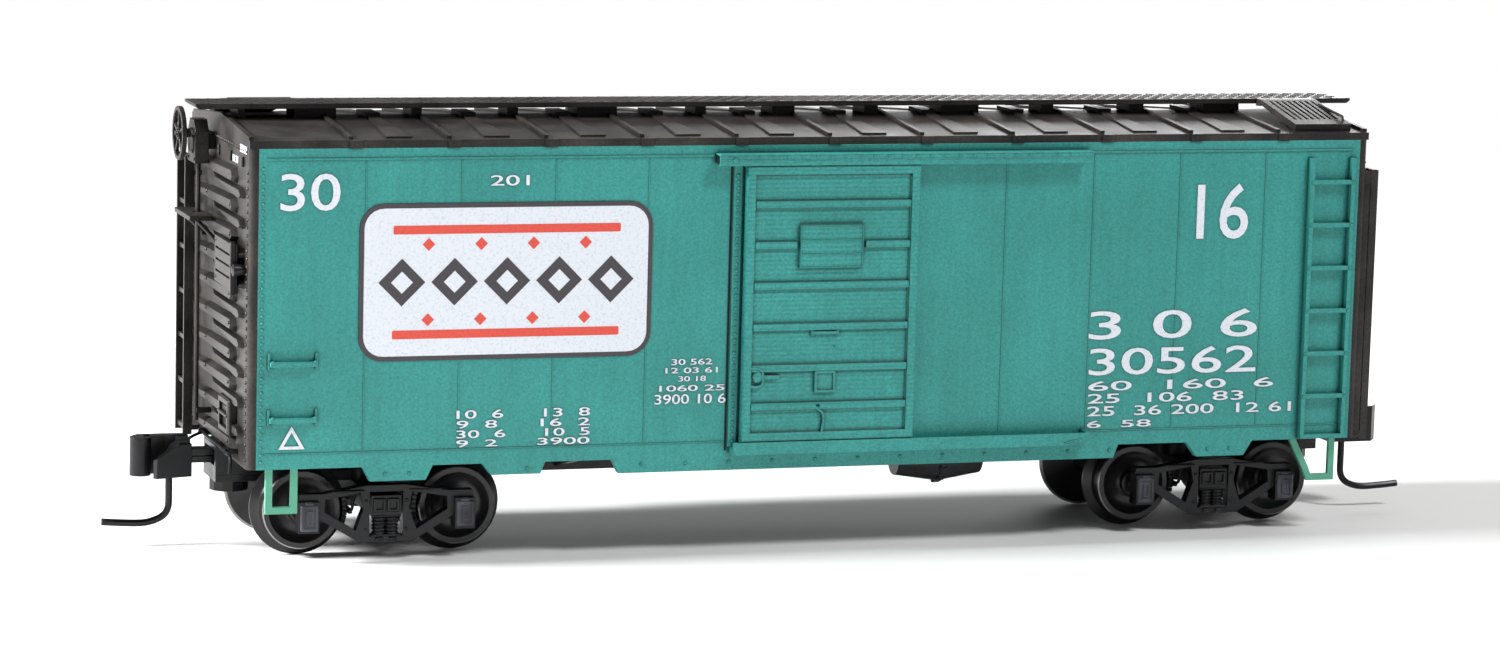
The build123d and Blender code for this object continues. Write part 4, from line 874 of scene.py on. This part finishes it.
def end_placard_fittings():
    """The dark bar at the edge of the placard board and its round retainer, drawn at end a."""
    low, high = mm_box("placard_board_a")
    edge_low = (low.x - 0.14, low.y - 0.05, low.z - 0.2)
    edge_high = (low.x + 0.2, low.y + 0.25, high.z + 0.2)
    edge = bar("edge", edge_low, edge_high, edge=0.05)
    knob_rings = ((-0.6, 0.30), (0.18, 0.42), (0.30, 0.42), (0.38, 0.22))
    knob = turned("knob", (low.x + 0.25, low.y - 0.38, 19.45), "-x", knob_rings)
    table = [Row((low.x, y, low.z + 0.3), (0, 0, 2.4), 2) for y in (low.y + 0.5, high.y - 0.35)]
    return join("placard_fittings_a", [edge, knob, rows("bolts", rivet("-x", 0.11, 0.06), table)])


def cut_lever():
    """The rod that opens the coupler: across the end, with a bent handle at the corner and its brackets."""
    x = -END_FACE - 0.75
    z = 7.35
    rod_line = ((x + 0.1, 2.3, z), (x, 1.0, z), (x, -3.0, z), (x, -6.9, z), (x, -7.6, 7.30), (x, -7.9, 6.9),
                (x - 0.1, -8.0, 6.2))
    arm_line = ((x, 1.2, z), (x - 0.5, 1.0, 7.3), (x - 0.9, 0.9, 7.05))
    pieces = [swept("rod", rod_line, 0.12), swept("arm", arm_line, 0.11)]
    for y in (-6.4, 1.9):
        low, high = (x - 0.14, y - 0.14, 7.16), (-END_FACE + 0.1, y + 0.14, 7.54)
        pieces.append(bar("bracket", low, high, edge=0.05))
    return join("cut_lever_a", pieces)


def ladder_angles():
    """The legs of the end ladder's outer stile, back to the end sheet, drawn at end b."""
    low, high = mm_box("end_ladder_b")
    leg_low = (END_FACE - 0.1, low.y, low.z + 0.1)
    leg_high = (END_FACE + 0.6, low.y + 0.12, high.z - 0.1)
    return bar("ladder_angle_b", leg_low, leg_high, edge=0.03)


def end_box():
    """The small box and rounded plate low on the end sheet."""
    box = bar("box", (-END_FACE - 0.62, -6.2, 8.3), (-END_FACE + 0.1, -3.1, 10.7), edge=0.12)
    raise_face(box, (-1, 0, 0), 0.3, -0.25)
    shelf = bar("shelf", (-END_FACE - 0.72, -6.0, 9.5), (-END_FACE - 0.2, -3.3, 9.72), edge=0.05)
    return join("end_box_a", [box, shelf])


def brake_fittings():
    """The nut on the brake wheel, the case's cover plate and bolts, and the chain down to the lever."""
    low, high = mm_box("brake_wheel")
    y, z = (low.y + high.y) / 2, (low.z + high.z) / 2
    nut = turned("nut", (low.x, y, z), "-x", ((-0.1, 0.30), (0.06, 0.30), (0.06, 0.18), (0.16, 0.16)), 6)
    case_low, case_high = mm_box("brake_housing")
    cover_rings = ((-0.2, 0.86), (0.08, 0.86), (0.14, 0.74), (0.10, 0.55))
    cover = turned("cover", (case_low.x + 0.66, y, case_high.z - 1.45), "-x", cover_rings, 20)
    pairs = [Row((case_low.x + 0.65, y - 0.95, bolt_z), (0, 1.9, 0), 2) for bolt_z in (25.45, 27.15)]
    bolts = rows("bolts", rivet("-x", 0.11, 0.07), pairs)
    link = turned("link", (0, 0, 0), "+z", ((-0.1, 0.08), (-0.05, 0.14), (0.05, 0.14), (0.1, 0.08)), 8)
    chain = rows("chain", link, [Row((case_low.x + 1.1, y + 0.55, 8.3), (0, 0, 0.26), 5)])
    return join("brake_fittings_a", [nut, cover, bolts, chain])


# Trucks, drawn about the middle of one truck and then moved to end a
def journal_lids():
    """Cast lids on the journal boxes, each with its rim, raised square and hinge."""
    face = -JOURNAL_FACE
    pieces = []
    for x in (-WHEELBASE / 2, WHEELBASE / 2):
        lid = plate("lid", (x - 0.60, x + 0.60), (AXLE_Z - 1.0, AXLE_Z + 0.72), face, 0.12, edge=0.08)
        for margin, rise in ((0.14, -0.06), (0.16, 0.07), (0.12, -0.05)):
            raise_face(lid, (0, -1, 0), margin, rise)
        hinge_z = (AXLE_Z + 0.66, AXLE_Z + 0.92)
        hinge = plate("hinge", (x - 0.30, x + 0.30), hinge_z, face, 0.10, edge=0.08, sunk=0.2)
        pieces += [lid, hinge]
    return pieces


def bolster_ends():
    """The bolster's end in the side frame, with two square pockets, and the spring plank's lugs below."""
    face = -FRAME_FACE
    pocket_z = (AXLE_Z + 0.05, AXLE_Z + 0.98)
    lug_z = (AXLE_Z - 1.92, AXLE_Z - 1.62)
    pieces = []
    for x in (-0.46, 0.46):
        pocket = plate("pocket", (x - 0.42, x + 0.42), pocket_z, face, 0.16, edge=0.06, sunk=0.2)
        pieces.append(raise_face(pocket, (0, -1, 0), 0.13, -0.22))
        lug = plate("lug", (x - 0.26, x + 0.26), lug_z, face, 0.14, edge=0.06, sunk=0.2)
        pieces.append(raise_face(lug, (0, -1, 0), 0.08, -0.08))
    seat = plate("seat", (-1.0, 1.0), (AXLE_Z - 1.60, AXLE_Z - 1.42), face, 0.06, edge=0.05, sunk=0.7)
    cap = plate("spring_cap", (-0.98, 0.98), (AXLE_Z - 0.30, AXLE_Z - 0.14), face, 0.04, edge=0.05, sunk=0.7)
    return pieces + [seat, cap]


def frame_trim():
    """Raised lines along the side frame's top chord, and the column bolts beside the springs."""
    face = -FRAME_FACE
    chord_z = (AXLE_Z + 1.44, AXLE_Z + 1.56)
    chord = plate("chord", (1.5, 3.7), chord_z, face, 0.07, sunk=0.2)
    opposite = plate("chord", (1.5, 3.7), chord_z, face, 0.07, sunk=0.2)
    moved(opposite, (0, -2 * face, 0), pi)
    columns = [Row((x, face, AXLE_Z - 1.1), (0, 0, 1.9), 2) for x in (-1.35, 1.35)]
    return [opposite, chord, rows("column_bolts", rivet("-y", 0.14, 0.08), columns)]


def springs():
    """Coil springs in the frame's window, each turn as one ring."""
    turns = 5
    low, high = AXLE_Z - 1.44, AXLE_Z - 0.28
    pitch = (high - low) / turns
    rings = []
    for i in range(turns):
        z = low + i * pitch
        rings += [(z, 0.38), (z + pitch * 0.25, 0.47), (z + pitch * 0.6, 0.47), (z + pitch * 0.85, 0.38)]
    coil = turned("coil", (0, 0, 0), "+z", rings, 14)
    return rows("springs", coil, [Row((-0.42, -FRAME_FACE + 0.40, 0), (0.84, 0, 0), 2)])


# A brake shoe is an arc of blocks at this distance from its axle, with this angle between them
SHOE_RADIUS = 2.90
SHOE_STEP = radians(6.0)
SHOE_BLOCKS = range(-3, 4)
BEAM_FROM_AXLE = 3.28


def brake_shoes():
    """Shoes against each wheel's inner side, their beam across the truck and the hangers in the windows."""
    pieces = []
    for side in (-1, 1):
        axle_x = side * WHEELBASE / 2
        block = moved(bar("shoe", (-0.16, 4.45, -0.14), (0.16, 5.40, 0.14), edge=0.02), (SHOE_RADIUS, 0, 0))
        arc = []
        for i in SHOE_BLOCKS:
            part = moved(copied(block), turn=i * SHOE_STEP + (pi if side > 0 else 0), axis="Y")
            arc.append(moved(part, (axle_x, 0, AXLE_Z)))
        bpy.data.objects.remove(block)
        near = join("arc", arc)
        pieces += [near, copied(near, (0, -9.85, 0))]
        x = axle_x - side * BEAM_FROM_AXLE
        pieces.append(bar("beam", (x - 0.16, -5.3, AXLE_Z - 0.40), (x + 0.16, 5.3, AXLE_Z - 0.06), edge=0.05))
        for y in (-5.9, 5.9):
            line = ((x, y * 0.86, AXLE_Z - 0.2), (x, y, AXLE_Z - 0.1), (x, y, AXLE_Z + 0.7),
                    (x - side * 0.3, y, AXLE_Z + 1.25))
            pieces.append(swept("hanger", line, 0.11))
    return join("brake_shoes", pieces)


def truck_details():
    near = join("near", bolster_ends() + frame_trim() + [springs()])
    return on_truck(join("truck_details_a", [near, copied(near, turn=pi), brake_shoes()]))


def on_truck(piece):
    """Moves what is drawn about the middle of a truck to the truck at end a."""
    return moved(piece, (-TRUCK_X, 0, 0))


def truck_lids():
    near = join("near", journal_lids())
    return on_truck(join("journal_lids_a", [near, copied(near, turn=pi)]))


# Wheelsets: one axle with both wheels, turned in one piece and standing for the CAD wheelset
# Half a wheelset's outline, as (distance from the middle of the axle, radius)
HALF_WHEELSET = (
    (3.70, 0.75), (3.80, 0.92), (3.80, 3.02), (3.85, 3.14), (3.95, 3.195), (4.06, 3.18), (4.14, 3.06),
    (4.26, 2.72), (4.36, 2.625), (5.42, 2.60), (5.50, 2.52), (5.50, 2.20), (5.44, 2.12), (5.16, 1.86),
    (5.06, 1.50), (5.08, 1.06), (5.20, 0.90), (5.58, 0.84), (5.62, 0.74), (5.62, 0.42), (5.66, 0.38),
    (6.80, 0.38), (6.98, 0.14),
)
Wheelset = namedtuple("Wheelset", "node end axle")
WHEELSETS = (
    Wheelset("wheelset_a1", -1, -1),
    Wheelset("wheelset_a2", -1, 1),
    Wheelset("wheelset_b1", 1, -1),
    Wheelset("wheelset_b2", 1, 1),
)
# Where the wheels get their bright rings of painted highlight: beyond this radius, at these distances from
# the middle of the axle
HIGHLIGHT_BEYOND = 2.4
HIGHLIGHT_BANDS = ((3.80, 3.96), (5.41, 5.50))


def wheelsets():
    rings = [(-y, radius) for y, radius in reversed(HALF_WHEELSET)] + list(HALF_WHEELSET)
    master = turned("wheelset", (0, 0, AXLE_Z), "+y", rings, 64)
    for wheelset in WHEELSETS:
        axle_x = wheelset.end * TRUCK_X + wheelset.axle * WHEELBASE / 2
        piece = copied(master, (axle_x, 0, 0), name="turned_" + wheelset.node)
        finish(piece, brass, wheelset.node)
        # Faces in these bands take the bright metal, a painted highlight along the flange tip and rim edge
        piece.data.materials.append(edge_highlight)
        for face in piece.data.polygons:
            away = hypot(face.center.x / MM - axle_x, face.center.z / MM - AXLE_Z)
            across = abs(face.center.y) / MM
            if away > HIGHLIGHT_BEYOND and any(low < across < high for low, high in HIGHLIGHT_BANDS):
                face.material_index = 1
        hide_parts(wheelset.node)
    bpy.data.objects.remove(master)


# Couplers: the knuckle's pin, the pocket's screw, and the trip pin as one bent wire
def coupler_details():
    head_low, head_high = mm_box("coupler_knuckle_a")
    pin_rings = ((-0.1, 0.30), (0.04, 0.30), (0.10, 0.20))
    knuckle_pin = turned("knuckle_pin_a", (head_low.x + 1.1, 0.5, head_high.z), "+z", pin_rings)
    finish_pair(knuckle_pin, acetal, "knuckle_a", "knuckle_b")
    lid_low, lid_high = mm_box("pocket_lid_a")
    screw_rings = ((-0.05, 0.55), (0.10, 0.55), (0.16, 0.42), (0.08, 0.30))
    screw = turned("pocket_screw_a", (lid_low.x + 0.95, 0, lid_high.z), "+z", screw_rings, 16)
    finish_pair(screw, acetal, "truck_a", "truck_b")
    # The trip pin hangs from the knuckle and bends outwards to a raised tip
    y = (pin_low.y + pin_high.y) / 2
    low = pin_low.z + 0.25
    top = pin_high.z
    root = pin_high.x - 0.25
    line = ((root, y, top + 0.05), (root, y, top - 0.5), (root, y, 3.6), (root, y, 2.1), (root - 1.2, y, low),
            (root - 2.6, y, low - 0.02), (pin_low.x + 0.02, y, low + 0.14))
    for end, turn in (("a", 0.0), ("b", pi)):
        pin = swept("bent_trip_pin_" + end, line, 0.24, 12)
        finish(moved(pin, turn=turn), wire, "knuckle_" + end)
        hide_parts("trip_pin_" + end)


Run = namedtuple("Run", "name radius line")
PIPE_Y = -2.1
PIPES = (
    Run("train_pipe", 0.22, ((-22.0, PIPE_Y, 5.9), (-14.0, PIPE_Y, 5.7), (-3.0, PIPE_Y, 5.7),
                             (-1.4, -2.4, 5.7), (-0.9, -3.3, 5.75), (-0.9, -4.2, 5.8))),
    Run("reservoir_pipe", 0.16, ((1.8, -4.9, 5.9), (3.6, -5.0, 5.8), (5.2, -5.3, 5.6), (6.6, -5.5, 5.5))),
    Run("cylinder_pipe", 0.16, ((-1.6, -4.6, 6.3), (-4.0, -4.3, 6.4), (-6.6, -4.5, 6.3), (-7.6, -4.6, 6.2))),
)
RODS = (
    Run("top_rod", 0.15, ((-12.6, -4.6, 6.1), (-15.6, -3.6, 5.9), (-19.2, -2.2, 5.4), (-21.8, -1.9, 5.2))),
    Run("long_rod", 0.15, ((-14.2, 2.4, 5.3), (-6.0, 2.4, 5.2), (8.0, 2.4, 5.2), (21.0, 2.0, 5.3))),
)


# Underframe: the train pipe, brake rods and levers, seen below the sill and from below
def brake_rigging():
    pipes = [swept(run.name, run.line, run.radius) for run in PIPES]
    rods = [swept(run.name, run.line, run.radius) for run in RODS]
    lever = bar("cylinder_lever", (-14.5, -4.9, 5.75), (-14.1, 2.9, 5.95), edge=0.06)
    hanger = bar("lever_hanger", (-14.45, -0.2, 5.6), (-14.15, 0.2, 6.8), edge=0.05)
    return join("brake_rigging", [*pipes, lever, hanger, *rods])


# The reservoir's flange: its middle, and its ring of bolts
FLANGE_Y = -5.5
FLANGE_Z = 5.45
FLANGE_BOLTS = 10
FLANGE_RING = 1.60


def reservoir_bolts():
    """Bolt heads round the reservoir's middle flange."""
    low, high = mm_box("air_reservoir")
    middle_x = (low.x + high.x) / 2
    bolt = turned("bolt", (0, 0, 0), "+x", ((-0.27, 0.12), (-0.22, 0.17), (0.22, 0.17), (0.27, 0.12)), 6)
    bolts = []
    for i in range(FLANGE_BOLTS):
        angle = i * 2 * pi / FLANGE_BOLTS + 0.3
        place = (middle_x, FLANGE_Y + FLANGE_RING * cos(angle), FLANGE_Z + FLANGE_RING * sin(angle))
        bolts.append(copied(bolt, place))
    bpy.data.objects.remove(bolt)
    return join("reservoir_bolts", bolts)


def make_pieces():
    for draw in (side_rivets, side_seams, ladder_bolts, iron_feet):
        finish_pair(draw(), teal)
    # Black acetal bars as painted shadow in the track's open end and the joint by the door post
    finish_pair(painted_gap_shadows(), acetal)
    finish_pair(door_fittings(), teal, "door_near", "door_far")
    finish_pair(track_details(), teal)
    side_prints()
    finish(end_prints(), white_ink)
    finish_pair(roof_bolts(), black)
    finish(board_grip(), black)
    for draw in (platform_wire, end_rivets, end_top_brackets):
        finish_pair(draw(), black)
    for draw in (end_placard_fittings, cut_lever):
        finish_pair(draw(), acetal)
    for draw in (ladder_angles, end_box):
        finish_pair(draw(), black)
    finish(brake_fittings(), black)
    finish_pair(truck_details(), acetal, "truck_a", "truck_b")
    finish_pair(truck_lids(), lid_painted_highlight, "truck_a", "truck_b")
    wheelsets()
    coupler_details()
    finish(brake_rigging(), acetal)
    finish(reservoir_bolts(), acetal)


# Floor and light, here in metres
FLOOR_SIZE = 8.0
FADE_FROM = 0.10
FADE_TO = 0.28
AIM = Vector((0, 0, 0.014))
WHITE = (1, 1, 1, 1)


def make_stage():
    """White paper under the car that keeps its shadow, and runs out to plain white away from it."""
    bpy.ops.mesh.primitive_plane_add(size=FLOOR_SIZE, location=(0, 0, 0))
    floor = bpy.context.active_object
    floor.name = "studio_floor"
    material, put, place = started("pale_studio_paper")
    fibre = put("ShaderNodeTexNoise", {"Vector": place, "Scale": per_mm(1.5), "Detail": 4.0})
    tone = put("ShaderNodeMix", {MIX_FACTOR: fibre, MIX_A: "#f3f3f2", MIX_B: "#f6f6f5"}, RGBA)
    matt = put("Principled BSDF", {"Base Color": tone, "Roughness": 0.9, "Specular IOR Level": 0.2})
    away = put("ShaderNodeVectorMath", {0: place}, {"operation": "LENGTH"}).outputs["Value"]
    fade = put("ShaderNodeMapRange", {"Value": away, "From Min": FADE_FROM, "From Max": FADE_TO},
               {"interpolation_type": "SMOOTHSTEP"})
    camera_ray = put("ShaderNodeLightPath").outputs["Is Camera Ray"]
    glow = put("ShaderNodeEmission", {"Color": WHITE, "Strength": 1.0})
    seen = put("ShaderNodeMath", {0: fade, 1: camera_ray}, MULTIPLY)
    paper = put("ShaderNodeMixShader", {0: seen, 1: matt, 2: glow})
    put("Material Output", {"Surface": paper})
    floor.data.materials.append(material)


# Lamps: place and size in millimetres, power in watts
Lamp = namedtuple("Lamp", "name place size power")
LAMPS = (
    Lamp("key_softbox", (170, -230, 360), 90, 1.06),
    Lamp("fill_softbox", (-330, 30, 170), 90, 3.5),
    Lamp("back_softbox", (230, 330, 100), 220, 0.75),
)
WORLD_STRENGTH = 0.22


def make_lights():
    """White surroundings for the camera, dimmer as a light, and three soft lamps."""
    world = bpy.data.worlds.new("studio_world")
    world.use_nodes = True
    bpy.context.scene.world = world
    rays = add(world, "ShaderNodeLightPath").outputs
    seen = add(world, "ShaderNodeMath", {0: rays["Is Camera Ray"], 1: rays["Is Transmission Ray"]},
               {"operation": "MAXIMUM"})
    strength = add(world, "ShaderNodeMapRange", {"Value": seen, "To Min": WORLD_STRENGTH, "To Max": 1.0})
    add(world, "Background", {"Color": WHITE, "Strength": strength})
    for lamp in LAMPS:
        data = bpy.data.lights.new(lamp.name, "AREA")
        data.size = lamp.size * MM
        data.energy = lamp.power
        light = bpy.data.objects.new(lamp.name, data)
        bpy.context.scene.collection.objects.link(light)
        place = Vector(lamp.place) * MM
        turn = (AIM - place).to_track_quat("-Z", "Y").to_matrix().to_4x4()
        light.matrix_world = Matrix.Translation(place) @ turn


make_camera()
dress_nodes()
make_pieces()
make_stage()
make_lights()

bpy.context.scene.view_settings.view_transform = "Standard"
